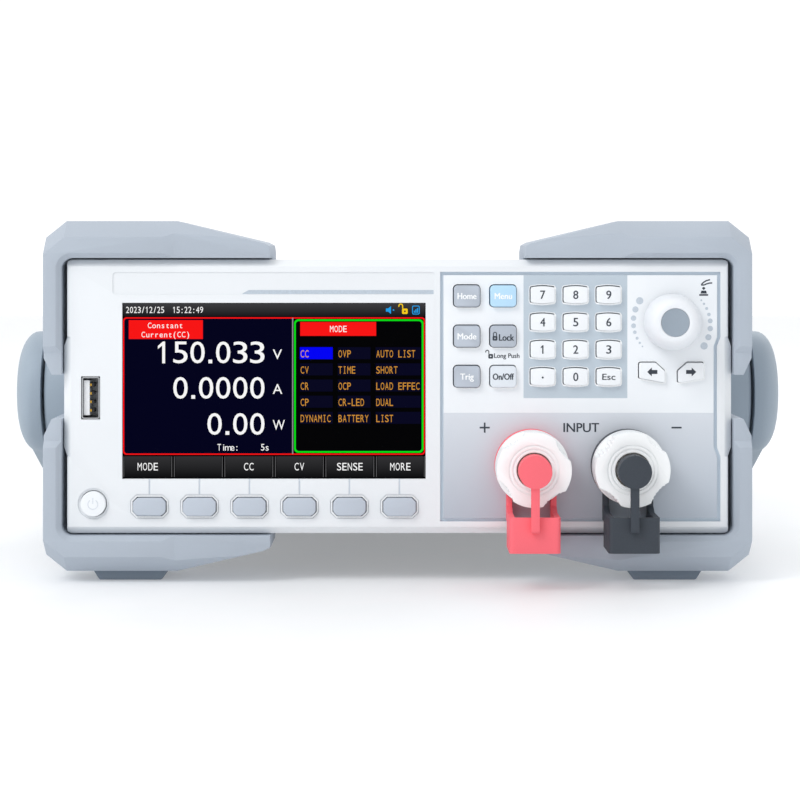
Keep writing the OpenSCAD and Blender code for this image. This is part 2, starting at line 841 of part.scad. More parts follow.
// A disc with a shallow dished front, in steps along its radius
module knob_insert() color("slategray") on_panel() at([knob_x, knob_z]) {
    dish = insert_t * 0.4;
    rim = knob_h - 0.2;
    steps = 6;
    turned() polygon(concat(
        [[0, knob_h - insert_t], [insert_r, knob_h - insert_t]],
        [for (i = [steps:-1:0]) [insert_r * i / steps, rim - dish * (1 - pow(i / steps, 2))]]
    ));
}

// The pieces of a binding post, drawn around the post's own axis
module at_post(s) on_panel() at([post_mid + s * post_pitch / 2, post_z]) children();

module stud(s) color(brass) at_post(s) difference() {
    union() {
        rod(stud_r, -stud_tip, stud_tail);
        rod(stud_collar_r, face_t, face_t + stud_collar_t);
    }
    rod(socket_r, -stud_tip - 1, socket_depth - stud_tip);
}

module washer(s) color(metal) at_post(s) difference() {
    rod(washer_r, -nut_h, -washer_h);
    rod(stud_r + seat_gap, -nut_h - 1, 0);
}

// The grip's hollows lie on both diagonals, turned on by the nut's own angle
module nut_hollows(turn) for (i = [0:3]) rotate([0, 45 + i * 90 + turn, 0])
    translate([hollow_x, 0, 0]) children();

module nut(s, turn) color(shell_white) at_post(s) difference() {
    grip = nut_h + nut_flange;
    union() {
        rod(nut_r, -grip, -nut_h);
        difference() {
            rod(nut_r, -nut_front, -grip + eps);
            nut_hollows(turn) rod(hollow_r, -nut_front - 1, -grip);
        }
        nut_hollows(turn) for (a = [-2:2]) rotate([0, a * rib_step, 0]) translate([-hollow_r, 0, 0])
            rod(rib_r, -nut_front + 1, -grip + eps);
    }
    rod(stud_r + seat_gap, -nut_front - 1, 0);
    rod(nut_hole_r, -nut_front - 1, -stud_tip + thread_l);
    for (r = ring_spots) turned() translate([r, nut_front - ring_deep]) square([ring_w, 1]);
}

// What is cut away to round a sleeve's two front corners
module sleeve_corners() for (t = [0, 1]) mirror([t, 0, 0])
    translate([sleeve_w / 2 - sleeve_r, sleeve_r - sleeve_front, sleeve_top - sleeve_h - 1])
        linear_extrude(sleeve_h + 2) difference() {
            translate([0, -sleeve_r - 1]) square(sleeve_r + 1);
            circle(sleeve_r);
        }

// Collar ring, two side arms and the cable sleeve below the nut, in one rubber moulding
module post_cover(s, colour) color(colour) at_post(s) difference() {
    low = sleeve_top - sleeve_h;
    half = sleeve_w / 2;
    bend = sleeve_top + sleeve_bend;
    tail = sleeve_top - sleeve_tail;
    root = -collar_r * 0.58;
    union() {
        rod(collar_r, -collar_t, 0);
        for (t = [0, 1]) mirror([t, 0, 0]) along_x(half - sleeve_t, half) polygon([
            [0, root], [-collar_t, root], [-collar_t, bend], [-2 * collar_t, sleeve_top],
            [-sleeve_front, sleeve_top], [-sleeve_front, low], [-sleeve_back, low], [-sleeve_back, tail],
            [0, tail]
        ]);
        translate([-half, -sleeve_front, low]) cube([sleeve_w, sleeve_t, sleeve_h]);
        translate([-half, -sleeve_back - sleeve_t, low]) cube([sleeve_w, sleeve_t, sleeve_h - sleeve_notch]);
    }
    rod(stud_r + seat_gap, -collar_t - 1, 1);
    sleeve_corners();
}

// Rubber plug on its strap: it closes the socket's mouth and hangs from the sleeve's front
module plug(s, colour) color(colour) at_post(s) {
    mid = strap_back + strap_t / 2;
    neck = -nut_front - plug_gap;
    rod(plug_nose_r, neck - plug_lap, -stud_tip - loose_gap);
    rod(plug_r, -plug_front, neck);
    translate([-strap_w / 2, -strap_back - strap_t, -strap_drop]) cube([strap_w, strap_t, strap_drop]);
    translate([-strap_w / 2, -mid, -strap_drop]) rotate([0, 90, 0]) cylinder(r = strap_t / 2, h = strap_w);
}

module cover_section() {
    difference() {
        bent(case_w, case_h, bend_r);
        translate([0, -sheet_t]) bent(case_w - 2 * sheet_t, case_h, bend_r - sheet_t);
    }
}

// A rectangle with its two upper corners rounded
module bent(w, h, r) {
    translate([-w / 2, -h / 2]) square([w, h - r]);
    translate([r - w / 2, -h / 2]) square([w - 2 * r, h]);
    for (s = [-1, 1]) translate([s * (w / 2 - r), h / 2 - r]) circle(r);
}

module cover_screw_holes(r) for (y = screw_rows) translate([-panel_w, y, cover_screw_z])
    rotate([0, 90, 0]) cylinder(r = r, h = 2 * panel_w);

// Two rows of upright slots in both sides, behind the handle's bosses
module vents() {
    first = pivot_in + disc_r + vent_start;
    count = floor((case_len - guard_depth - vent_end - first) / vent_pitch);
    row = vent_h / 2 + vent_w;
    for (i = [0:count - 1], z = [vent_lift - row, vent_lift + row]) along_x(-panel_w, panel_w)
        translate([first + i * vent_pitch, z]) {
            square([vent_w, vent_h - vent_w], center = true);
            for (t = [-1, 1]) translate([0, t * (vent_h - vent_w) / 2]) circle(vent_w / 2);
        }
}

module top_cover() color(guard_grey) on_panel() difference() {
    plate(case_y, case_len) cover_section();
    vents();
    cover_screw_holes(screw_r + fold_gap);
}

module chassis() color(metal) on_panel() difference() {
    union() {
        translate([-tray_w / 2, case_y, -case_h / 2]) cube([tray_w, case_len - case_y, sheet_t]);
        for (x = [-tray_w / 2, tray_w / 2 - sheet_t]) translate([x, case_y, -case_h / 2])
            cube([sheet_t, case_len - case_y - rear_t - seat_gap, flange_h + sheet_t]);
    }
    cover_screw_holes(screw_r + fold_gap);
}

// Ring slots in front of the fan, held by four spokes
module fan_grille() difference() {
    for (r = [fan_hub_r * 0.55:grille_pitch:fan_bore - grille_slot]) difference() {
        circle(r + grille_slot);
        circle(r);
    }
    for (a = [0, 90]) rotate(a + 45) square([fan_w * 2, fan_spoke], center = true);
}

module rear_panel() color(metal) on_panel() {
    base = floor_z;
    high = roof_z - fold_gap - base;
    plate(case_len - rear_t, case_len) difference() {
        translate([0, base + high / 2]) bent(tray_w, high, bend_r - sheet_t);
        translate([fan_x, 0]) fan_grille();
        for (sx = [-1, 1], sz = [-1, 1]) translate([fan_x + sx * fan_screw, sz * fan_screw])
            circle(screw_r + fold_gap);
        translate([inlet_x, inlet_z]) {
            square([inlet_body_w + 2 * seat_gap, inlet_body_h + 2 * seat_gap], center = true);
            for (sx = [-1, 1]) translate([sx * inlet_screw, 0]) circle(screw_r + fold_gap);
        }
        for (c = card_cuts()) translate(c[0])
            square([c[1][0] + 2 * seat_gap, c[1][1] + 2 * seat_gap], center = true);
    }
}

// Middle and size of each connector opening in the rear panel
function card_cuts() = [
    for (c = [[serial_x, serial_size], [lan_x, lan_size], [usb_b_x, usb_b_size]])
        [[c[0], card_z + c[1][1] / 2], c[1]],
    [[sense_x, sense_z], sense_size]
];

// Outline of a guard seen from the front, from the tip of its lying arm round to the tip of its standing arm
module guard_outline(top, tip, reach, flat) {
    x = guard_x;
    z = guard_split / 2;
    end = x - reach;
    inside = [end, z] + guard_inside;
    polygon([
        [end, panel_top - 1], [end, tip - 1], [end + guard_nip, tip], [x - flat, top], [x - guard_cut, top],
        [x, top - guard_shoulder], [x, z + guard_end_h], [x - guard_end_w, z], [x - guard_side - 1, z], inside
    ]);
}

// The opening that holds the panel: a channel with rounded corners, bevelled along its front edge
module guard_channel(hold_y) {
    half_w = panel_w / 2 + guard_gap_x;
    half_h = panel_top + guard_gap_z;
    lip = guard_lip;
    plate(-1, hold_y) rounded(2 * half_w, 2 * half_h, guard_corner);
    along_x(0, half_w - guard_corner)
        polygon([[-1, half_h - 1], [-1, half_h + lip + 1], [lip, half_h], [lip, half_h - 1]]);
    linear_extrude(half_h - guard_corner)
        polygon([[half_w - 1, -1], [half_w + lip + 1, -1], [half_w, lip], [half_w - 1, lip]]);
    translate([half_w - guard_corner, -1, half_h - guard_corner]) rotate([-90, 0, 0])
        cylinder(r1 = guard_corner + lip + 1, r2 = guard_corner, h = lip + 1);
}

// One guard for the upper right corner: y = 0 is its outer face and y runs towards the middle of the case
module corner_guard(hold_y, reach, flat) difference() {
    skin = 0.2;
    far = guard_x + guard_side;
    step_x = guard_x - flat + guard_pad_x;
    step_z = guard_split / 2 + guard_pad_z;
    back = guard_step;
    hull() {
        plate(0, skin) guard_outline(guard_z - guard_slope_z, guard_tip_z - guard_tip_drop, reach, flat);
        plate(guard_slope_y, guard_depth - guard_heel) guard_outline(guard_z, guard_tip_z, reach, flat);
        plate(guard_depth - skin, guard_depth)
            guard_outline(guard_z - guard_heel_drop, guard_tip_z - guard_heel_tip, reach, flat);
    }
    linear_extrude(far)
        polygon([[-1, -1], [step_x, -1], [step_x, 0], [step_x - guard_ramp_x, back], [-1, back]]);
    along_x(0, far) polygon([[-1, -1], [-1, step_z], [0, step_z], [back, step_z - guard_ramp_z], [back, -1]]);
    guard_channel(hold_y);
    translate([-case_w / 2 - seat_gap, -1, -case_h / 2 - seat_gap])
        cube([case_w + 2 * seat_gap, guard_depth + 2, case_h + 2 * seat_gap]);
}

module four_guards(hold_y, reach, flat) for (sx = [0, 1], sz = [0, 1]) mirror([sx, 0, 0]) mirror([0, 0, sz])
    corner_guard(hold_y, reach, flat);

module front_bumpers() color(guard_grey) on_panel() translate([0, -guard_front, 0])
    four_guards(guard_front + bezel_depth + seat_gap, guard_reach, guard_flat);

module rear_bumpers() color(guard_grey) on_panel() translate([0, case_len + guard_rear, 0]) mirror([0, 1, 0])
    four_guards(guard_rear - seat_gap, rear_reach, rear_flat);

module feet() color("dimgray") on_panel() {
    top = foot_w / 2;
    low = top - foot_taper;
    for (sx = [-1, 1], y = [foot_in - guard_front, case_len + guard_rear - foot_in - foot_l])
        translate([sx * foot_x, 0, -guard_z]) plate(y, y + foot_l)
            polygon([[-top, 0], [-low, -foot_h], [low, -foot_h], [top, 0]]);
}

// Pieces on the handle's pivot, drawn along +x from the middle of the case
module at_pivot() on_panel() translate([0, pivot_in, -pivot_drop]) children();

module both_sides() for (s = [0, 1]) mirror([s, 0, 0]) children();

module bar_x(r, x0, x1) translate([x0, 0, 0]) rotate([0, 90, 0]) cylinder(r = r, h = x1 - x0);

module handle_hubs() color(hub_grey) at_pivot() both_sides() difference() {
    union() {
        bar_x(boss_r, case_w / 2, boss_end - hub_bevel);
        translate([boss_end - hub_bevel, 0, 0]) rotate([0, 90, 0])
            cylinder(r1 = boss_r, r2 = boss_r - hub_bevel, h = hub_bevel);
    }
    bar_x(pin_r + run_gap, boss_end - pin_l - 1, boss_end + 1);
}

// A disc with a domed outer face
module handle_disc() translate([disc_in, 0, 0]) rotate([0, 90, 0]) rotate_extrude() polygon(concat(
    [[0, 0], [disc_r, 0]],
    [for (a = [0:10:90]) [disc_face_r + (disc_r - disc_face_r) * cos(a), disc_rim + disc_dome * sin(a)]],
    [[0, disc_rim + disc_dome]]
));

module handle() color(hub_grey) at_pivot() {
    lean = asin((arm_root_r - tip_r) / arm_l);
    reach = bar_w / 2 - bar_t / 2;
    both_sides() {
        bar_x(pin_r, boss_end - pin_l, disc_in + eps);
        handle_disc();
        rotate([-handle_rest, 0, 0]) {
            along_x(arm_in, arm_in + arm_t) polygon([
                [arm_root_r * sin(lean), arm_root_r * cos(lean)],
                [arm_l + tip_r * sin(lean), tip_r * cos(lean)],
                [arm_l + tip_r * sin(lean), -tip_r * cos(lean)],
                [arm_root_r * sin(lean), -arm_root_r * cos(lean)]
            ]);
            translate([0, arm_l, 0]) bar_x(tip_r, arm_in, arm_in + arm_t);
        }
    }
    rotate([-handle_rest, 0, 0]) translate([0, arm_l, 0]) rotate([handle_rest, 0, 0]) {
        translate([-arm_in - 1, -reach, -bar_t / 2]) cube([2 * arm_in + 2, 2 * reach, bar_t]);
        for (t = [-1, 1]) translate([0, t * reach, 0]) bar_x(bar_t / 2, -arm_in - 1, arm_in + 1);
    }
}

module at_fan() on_panel() translate([fan_x, fan_y, 0]) children();

module fan_frame() color(dark) at_fan() difference() {
    union() {
        difference() {
            plate(0, fan_t) rounded(fan_w, fan_w, fan_corner);
            rod(fan_bore, -1, fan_t + 1);
        }
        rod(fan_hub_r, fan_t - fan_spoke, fan_t);
        for (a = [0, 90]) rotate([0, a + 45, 0])
            translate([-fan_bore - 0.5, fan_t - fan_spoke, -fan_spoke / 2])
                cube([2 * fan_bore + 1, fan_spoke, fan_spoke]);
    }
    rod(fan_shaft_r + run_gap, fan_deep, fan_t - 1);
    for (sx = [-1, 1], sz = [-1, 1]) at([sx * fan_screw, sz * fan_screw])
        rod(screw_r + fold_gap, -1, fan_t + 1);
}

module fan_rotor() color("dimgray") at_fan() {
    rod(fan_hub_r, rotor_in, fan_deep);
    rod(fan_shaft_r, fan_deep - eps, fan_t - rotor_in);
    intersection() {
        for (i = [0:fan_blades - 1]) rotate([0, i * 360 / fan_blades, 0])
            translate([0, (fan_deep + rotor_in) / 2, fan_hub_r - 1]) rotate([0, 0, blade_lean])
                translate([-blade_t / 2, -fan_deep, 0]) cube([blade_t, 2 * fan_deep, fan_bore]);
        rod(fan_bore - 1, rotor_in + 1, fan_deep - 1);
    }
}

module ac_inlet() on_panel() translate([0, case_len, 0]) at([inlet_x, inlet_z]) {
    a = inlet_mouth_w / 2;
    b = inlet_mouth_h / 2;
    c = inlet_mouth_cut;
    color(dark) difference() {
        union() {
            plate(0, inlet_flange) rounded(inlet_w, inlet_h, inlet_r);
            plate(-inlet_depth, eps) square([inlet_body_w, inlet_body_h], center = true);
        }
        plate(inlet_flange - inlet_mouth_l, inlet_flange + 1)
            polygon([[-a, -b], [a, -b], [a, b - c], [a - c, b], [c - a, b], [-a, b - c]]);
        for (sx = [-1, 1]) at([sx * inlet_screw, 0]) rod(screw_r + fold_gap, -1, inlet_flange + 1);
    }
    color(metal) for (p = inlet_pins) at(p)
        plate(inlet_flange - inlet_mouth_l, 0.5) square([2, 4], center = true);
}

// A small board with the connectors that show at the rear panel
module interface_card() on_panel() {
    out = 1;
    back = case_len - rear_t - 1;
    color(circuit_green) translate([serial_x - 16, back - card_depth, card_z - board_t])
        cube([usb_b_x - serial_x + 26, card_depth, board_t]);
    color(metal) {
        translate([serial_x, 0, card_z + serial_size[1] / 2]) {
            plate(back - 8, case_len - rear_t) square([31, serial_size[1]], center = true);
            plate(case_len - rear_t - eps, case_len + 5) difference() {
                square(serial_size - [1, 2], center = true);
                square(serial_size - [2, 3], center = true);
            }
        }
        translate([lan_x, 0, card_z + lan_size[1] / 2]) difference() {
            plate(back - 14, case_len + out) square(lan_size, center = true);
            plate(back - 10, case_len + out + 1) translate([0, -1]) square([11.8, 8.4], center = true);
        }
        translate([usb_b_x, 0, card_z + usb_b_size[1] / 2]) difference() {
            plate(back - 12, case_len + out) square(usb_b_size, center = true);
            plate(back - 8, case_len + out + 1) difference() {
                square([8.4, 7.8], center = true);
                square([5.6, 3.2], center = true);
            }
        }
    }
    color("seagreen") at([sense_x, sense_z]) {
        plate(case_len - rear_t - 10, case_len + 6) difference() {
            square(sense_size, center = true);
            for (i = [-2:2]) translate([i * 5, -1]) square(3, center = true);
        }
        plate(case_len - rear_t - 10, case_len - rear_t) square(sense_size + [4, 4], center = true);
    }
}

module heatsink() color(metal) on_panel() {
    count = floor((sink_h - fin_t) / fin_pitch);
    back = fan_y - sink_gap;
    plate(back - sink_l, back) translate([fan_x - sink_w / 2, board_top]) {
        square([sink_back, sink_h]);
        for (i = [0:count]) translate([0, i * fin_pitch]) square([sink_w, fin_t]);
    }
}

// Board with the mains transformer, the smoothing capacitors and the tabs that meet the studs
module main_board() on_panel() {
    left = -board_w / 2;
    color(circuit_green) {
        translate([left, board_front, board_z]) cube([board_w, board_back - board_front, board_t]);
        for (s = [-1, 1], y = [board_front + standoff_front, board_back - standoff_in])
            translate([s * (board_w / 2 - standoff_in), y, floor_z]) cylinder(r = standoff_r, h = standoff_h);
    }
    color(dark) {
        translate([left + transformer_in, transformer_y, board_top]) cube(transformer);
        for (i = [0:2]) translate([capacitor_x, capacitor_y - i * capacitor_pitch, board_top])
            cylinder(r = capacitor_r, h = capacitor_h);
    }
    color(brass) for (s = [-1, 1]) difference() {
        translate([post_mid + s * post_pitch / 2 - tab_w / 2, tab_y, board_top])
            cube([tab_w, tab_t, post_z - board_top + tab_w / 2]);
        at([post_mid + s * post_pitch / 2, post_z]) rod(stud_r + run_gap, tab_y - 1, tab_y + tab_t + 1);
    }
}

module screw(l) {
    cylinder(r = screw_r, h = l + eps);
    translate([0, 0, l]) cylinder(r1 = screw_r * 2.1, r2 = screw_r * 1.5, h = screw_r);
}

module screws() color(metal) on_panel() {
    for (s = [0, 1], y = screw_rows) mirror([s, 0, 0])
        translate([case_w / 2 - cover_screw_l, y, cover_screw_z]) rotate([0, 90, 0]) screw(cover_screw_l);
    for (sx = [-1, 1], sz = [-1, 1])
        translate([fan_x + sx * fan_screw, case_len - fan_screw_l, sz * fan_screw])
            rotate([-90, 0, 0]) screw(fan_screw_l);
    for (sx = [-1, 1])
        translate([inlet_x + sx * inlet_screw, case_len + inlet_flange - inlet_screw_l, inlet_z])
            rotate([-90, 0, 0]) screw(inlet_screw_l);
}

front_bezel();
control_overlay();
lcd_module();
front_board();
usb_socket();
power_button();
softkey(0);  // softkey_1
softkey(1);  // softkey_2
softkey(2);  // softkey_3
softkey(3);  // softkey_4
softkey(4);  // softkey_5
softkey(5);  // softkey_6
func_key(0, key_grey);  // key_home
func_key(1, key_blue);  // key_menu
func_key(2, key_grey);  // key_mode
func_key(3, key_grey);  // key_lock
func_key(4, key_grey);  // key_trig
func_key(5, key_grey);  // key_on_off
num_key(0);  // key_7
num_key(1);  // key_8
num_key(2);  // key_9
num_key(3);  // key_4
num_key(4);  // key_5
num_key(5);  // key_6
num_key(6);  // key_1
num_key(7);  // key_2
num_key(8);  // key_3
num_key(9);  // key_point
num_key(10);  // key_0
num_key(11);  // key_esc
arrow_key(0);  // key_left
arrow_key(1);  // key_right
encoder_shaft();
knob();
knob_insert();
stud(-1);  // red_stud
washer(-1);  // red_washer
nut(-1, 10);  // red_nut
post_cover(-1, rubber_red);  // red_cover
plug(-1, rubber_red);  // red_plug
stud(1);  // black_stud
washer(1);  // black_washer
nut(1, -5);  // black_nut
post_cover(1, rubber_black);  // black_cover
plug(1, rubber_black);  // black_plug
chassis();
top_cover();
rear_panel();
front_bumpers();
rear_bumpers();
feet();
handle_hubs();
handle();
fan_frame();
fan_rotor();
ac_inlet();
interface_card();
heatsink();
main_board();
screws();
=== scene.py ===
# %% [markdown]
# A bench DC electronic load, dressed piece by piece.
# The object is a half-rack instrument: a white front panel with a colour screen, a keypad, a push knob and
# two binding posts, held between grey corner guards, with a carrying handle folded under the case. Every
# solid piece is already here at its true size and place, and this lesson gives the pieces their looks. We
# could model the instrument again by hand, but then its sizes would drift. Dressing the solids keeps them.

# %% Load the solid pieces
import json
import math

import bmesh
import bpy
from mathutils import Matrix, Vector, geometry

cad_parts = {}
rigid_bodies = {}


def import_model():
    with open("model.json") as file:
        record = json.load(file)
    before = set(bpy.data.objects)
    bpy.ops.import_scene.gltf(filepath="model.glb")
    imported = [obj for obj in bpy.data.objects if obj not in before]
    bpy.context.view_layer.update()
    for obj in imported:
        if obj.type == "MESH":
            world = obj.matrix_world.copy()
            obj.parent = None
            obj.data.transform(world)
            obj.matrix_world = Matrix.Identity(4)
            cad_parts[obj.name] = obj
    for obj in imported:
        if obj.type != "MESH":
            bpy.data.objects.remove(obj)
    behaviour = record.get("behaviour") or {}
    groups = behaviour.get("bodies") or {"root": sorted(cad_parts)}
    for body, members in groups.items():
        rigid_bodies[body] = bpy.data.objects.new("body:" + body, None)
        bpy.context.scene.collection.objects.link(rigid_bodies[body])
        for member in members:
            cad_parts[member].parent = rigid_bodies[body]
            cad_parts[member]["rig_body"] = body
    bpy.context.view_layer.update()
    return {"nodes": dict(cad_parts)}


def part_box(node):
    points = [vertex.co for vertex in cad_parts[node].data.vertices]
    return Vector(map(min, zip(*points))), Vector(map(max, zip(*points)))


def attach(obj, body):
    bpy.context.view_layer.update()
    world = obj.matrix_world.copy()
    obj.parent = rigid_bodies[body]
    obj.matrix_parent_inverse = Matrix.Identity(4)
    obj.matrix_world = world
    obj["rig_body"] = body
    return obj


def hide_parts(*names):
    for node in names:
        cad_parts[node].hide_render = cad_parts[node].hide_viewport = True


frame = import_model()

nodes = frame["nodes"]
body_of_node = {name: solid["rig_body"] for name, solid in nodes.items()}

# %% [markdown]
# Panel coordinates.
# Almost everything that we add lies on the front panel, so we think as the panel's printer does:
# millimetres to the right of the panel's middle, above it, and out of its face. One function turns that
# into Blender's metres. It reads the panel's place from the solid bezel, so no number has to be repeated.

# %% Panel coordinates
MM = 0.001
bezel_low, bezel_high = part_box("front_bezel")
face_y = bezel_low.y
panel_mid = (bezel_low + bezel_high) / 2


def on_panel(across, up, out):
    """A point of the front panel in metres, from millimetres right of its middle, above it and out of it."""
    return Vector((panel_mid.x + across * MM, face_y - out * MM, panel_mid.z + up * MM))


def panel_box(node):
    """Left, low, right and high edge of a solid seen from the front, and how far it stands out, in mm."""
    low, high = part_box(node)
    left, right = (low.x - panel_mid.x) / MM, (high.x - panel_mid.x) / MM
    under, over = (low.z - panel_mid.z) / MM, (high.z - panel_mid.z) / MM
    return left, under, right, over, (face_y - low.y) / MM


print("panel", [round(x / MM, 1) for x in bezel_high - bezel_low], "mm")

# %% [markdown]
# The camera.
# The photograph was taken from straight ahead, a little above the middle, with a long lens that was shifted
# down rather than tilted, so that upright edges stay upright. We could tilt the camera, but the sides of
# the panel would then lean. A shifted lens, as on a view camera, keeps them parallel.

# %% Camera
CAMERA_AWAY = 0.8
CAMERA_HEIGHT = 0.1008
view_lens = bpy.data.cameras.new("photo_lens")
view_lens.lens = 113.6
view_lens.sensor_width = 36
view_lens.shift_x = 0.003
view_lens.shift_y = -0.169
camera = bpy.data.objects.new("camera", view_lens)
camera.location = (0, face_y - CAMERA_AWAY, CAMERA_HEIGHT)
camera.rotation_euler = (math.radians(90), 0, 0)
bpy.context.scene.collection.objects.link(camera)
bpy.context.scene.camera = camera
print("camera", CAMERA_AWAY, "m in front of the panel")

# %% [markdown]
# Shader helpers.
# A finish is a Principled shader with other nodes behind its colour, roughness and bump. The node editor
# could do this by hand, but a few helpers keep each finish to a few lines. These make a colour, a node, a
# sum and a mix of two colours.

# %% Shader helpers


def hexed(code):
    """A colour as it is written on a sample card, turned into linear light."""
    parts = [int(code[i:i + 2], 16) / 255 for i in (1, 3, 5)]
    return tuple(c / 12.92 if c < 0.04045 else ((c + 0.055) / 1.055) ** 2.4 for c in parts) + (1.0,)


def shaded(colour, factor):
    """The same colour, lighter or darker."""
    return tuple(min(1.0, c * factor) for c in colour[:3]) + (1.0,)


def shader(tree, kind, values, **settings):
    """Adds a shader node. A socket's value is a number, a colour or another node's output."""
    made = tree.nodes.new("ShaderNode" + kind)
    for key, value in settings.items():
        setattr(made, key, value)
    for socket, value in values.items():
        if isinstance(value, bpy.types.NodeSocket):
            tree.links.new(value, made.inputs[socket])
        else:
            made.inputs[socket].default_value = value
    return made


def math_node(tree, operation, first, second):
    return shader(tree, "Math", {0: first, 1: second}, operation=operation).outputs[0]


def mixed(tree, factor, first, second):
    """Two colours, mixed by a factor."""
    return shader(tree, "Mix", {0: factor, 6: first, 7: second}, data_type="RGBA").outputs[2]


print("middle grey is", round(hexed("#808080")[0], 3), "in linear light")

# %% [markdown]
# Grain and bump.
# No real surface is quite even, so each finish has a noise behind its colour, its gloss and its bump. Image
# textures could give that, but they need unwrapped meshes. A noise in object space needs none, and it has
# the same scale on all pieces: a grain of 0.3 means 0.3 mm, because object coordinates are metres in this
# frame.

# %% Grain and bump
NOISE_LOW, NOISE_HIGH = 0.3, 0.7


def empty_finish(name):
    """A new material, its node tree, its Principled shader and its object coordinates."""
    made = bpy.data.materials.new(name)
    made.use_nodes = True
    tree = made.node_tree
    where = shader(tree, "TexCoord", {}).outputs["Object"]
    return made, tree, tree.nodes["Principled BSDF"], where


def grain_noise(tree, where, size_mm, detail=3.0):
    """A noise whose specks are about that large."""
    sockets = {"Vector": where, "Scale": 1 / (size_mm * MM), "Detail": detail}
    return shader(tree, "TexNoise", sockets).outputs["Fac"]


def spread(tree, value, low, high):
    """A noise value, which is mostly between 0.3 and 0.7, spread over low to high."""
    sockets = {"Value": value, "From Min": NOISE_LOW, "From Max": NOISE_HIGH, "To Min": low, "To Max": high}
    return shader(tree, "MapRange", sockets).outputs["Result"]


def uneven(tree, noise, colour, dark, light):
    """A colour that wanders between a darker and a lighter shade of itself."""
    return mixed(tree, spread(tree, noise, 0, 1), shaded(colour, dark), shaded(colour, light))


def coat(tree, surface, colour, roughness):
    """Gives a surface its colour and its roughness."""
    tree.links.new(colour, surface.inputs["Base Color"])
    tree.links.new(roughness, surface.inputs["Roughness"])


def bumped(tree, surface, height, depth_mm, strength=0.5):
    """Lets a height pattern catch the light."""
    sockets = {"Height": height, "Distance": depth_mm * MM, "Strength": strength}
    tree.links.new(shader(tree, "Bump", sockets).outputs["Normal"], surface.inputs["Normal"])


print("a millimetre is", MM, "of a Blender unit")

# %% [markdown]
# The floor.
# The object stands on a wide table of white acrylic. A curved sweep behind it would hide the table's far
# edge, but a large plane is enough here, since the edge melts into the bright backdrop. The floor is only
# the stage, so it is kept apart from the object. It gets its finish at the end, from one of the paints made
# below.

# %% Floor
FLOOR_HALF = 4.0
floor_mesh = bpy.data.meshes.new("floor")
corners = [(-1, -1), (1, -1), (1, 1), (-1, 1)]
floor_mesh.from_pydata([(x * FLOOR_HALF, y * FLOOR_HALF, 0) for x, y in corners], [], [(0, 1, 2, 3)])
floor = bpy.data.objects.new("floor", floor_mesh)
bpy.context.scene.collection.objects.link(floor)
print("floor", 2 * FLOOR_HALF, "m wide")

# %% [markdown]
# The white tent.
# A product photograph of this kind is lit from all around by a white tent. One even white world would wash
# out the pale edges, so the world here is bright behind the object and dimmer on the camera's side.

# %% White tent
BACKDROP_LIGHT = (1.1, 1.1, 1.105, 1)
ROOM_LIGHT = (0.72, 0.73, 0.745, 1)
FADE_FRONT, FADE_BACK = -0.6, 0.5
world = bpy.data.worlds.new("white_tent")
world.use_nodes = True
tent = world.node_tree
toward = shader(tent, "TexCoord", {}).outputs["Generated"]
backwards = shader(tent, "SeparateXYZ", {0: toward}).outputs["Y"]
sockets = {"Value": backwards, "From Min": FADE_FRONT, "From Max": FADE_BACK}
fade = shader(tent, "MapRange", sockets).outputs["Result"]
tent.links.new(mixed(tent, fade, ROOM_LIGHT, BACKDROP_LIGHT), tent.nodes["Background"].inputs["Color"])
bpy.context.scene.world = world
bpy.context.scene.view_settings.view_transform = "Standard"
print("tent light", ROOM_LIGHT[0], "in front and", BACKDROP_LIGHT[0], "behind")

# %% [markdown]
# Two soft lamps.
# One soft lamp at the upper left draws the highlights, and a weaker one lights the rear. Small hard lamps
# would give crossing shadows, which the photograph doesn't have, so both are wide squares.

# %% Soft lamps
LAMP_AIM = Vector((0, 0, 0.06))


def soft_lamp(name, place, size, power):
    """A square lamp that looks at the middle of the case."""
    lamp = bpy.data.lights.new(name, "AREA")
    lamp.size = size
    lamp.energy = power
    made = bpy.data.objects.new(name, lamp)
    made.location = place
    made.rotation_euler = (LAMP_AIM - Vector(place)).to_track_quat("-Z", "Y").to_euler()
    bpy.context.scene.collection.objects.link(made)


soft_lamp("upper_left_lamp", place=(-0.75, -1.0, 1.1), size=0.7, power=9)
soft_lamp("rear_lamp", place=(0.6, 1.3, 1.2), size=0.9, power=4)
print(len(bpy.data.lights), "lamps")

# %% [markdown]
# Moulded plastic and rubber.
# The mould of a plastic part is etched, so the part has a fine even grain, and its colour drifts a little
# across the part. The edges are lightened, partly as wear from handling and partly as a painted highlight
# where a rounded edge catches the light. An image texture could show this, but a noise in object space has
# no seams and the same grain on every part. Pointiness finds the edges.

# %% Moulded plastic and rubber
COLOUR_PATCH = 30
SPECK_SHARE, SPECK_SHADE = 0.25, 0.93
EDGE_START, EDGE_FULL = 0.52, 0.62
EDGE_SHARE, EDGE_LIGHT = 4, 3
GLOSS_SPREAD = 0.06


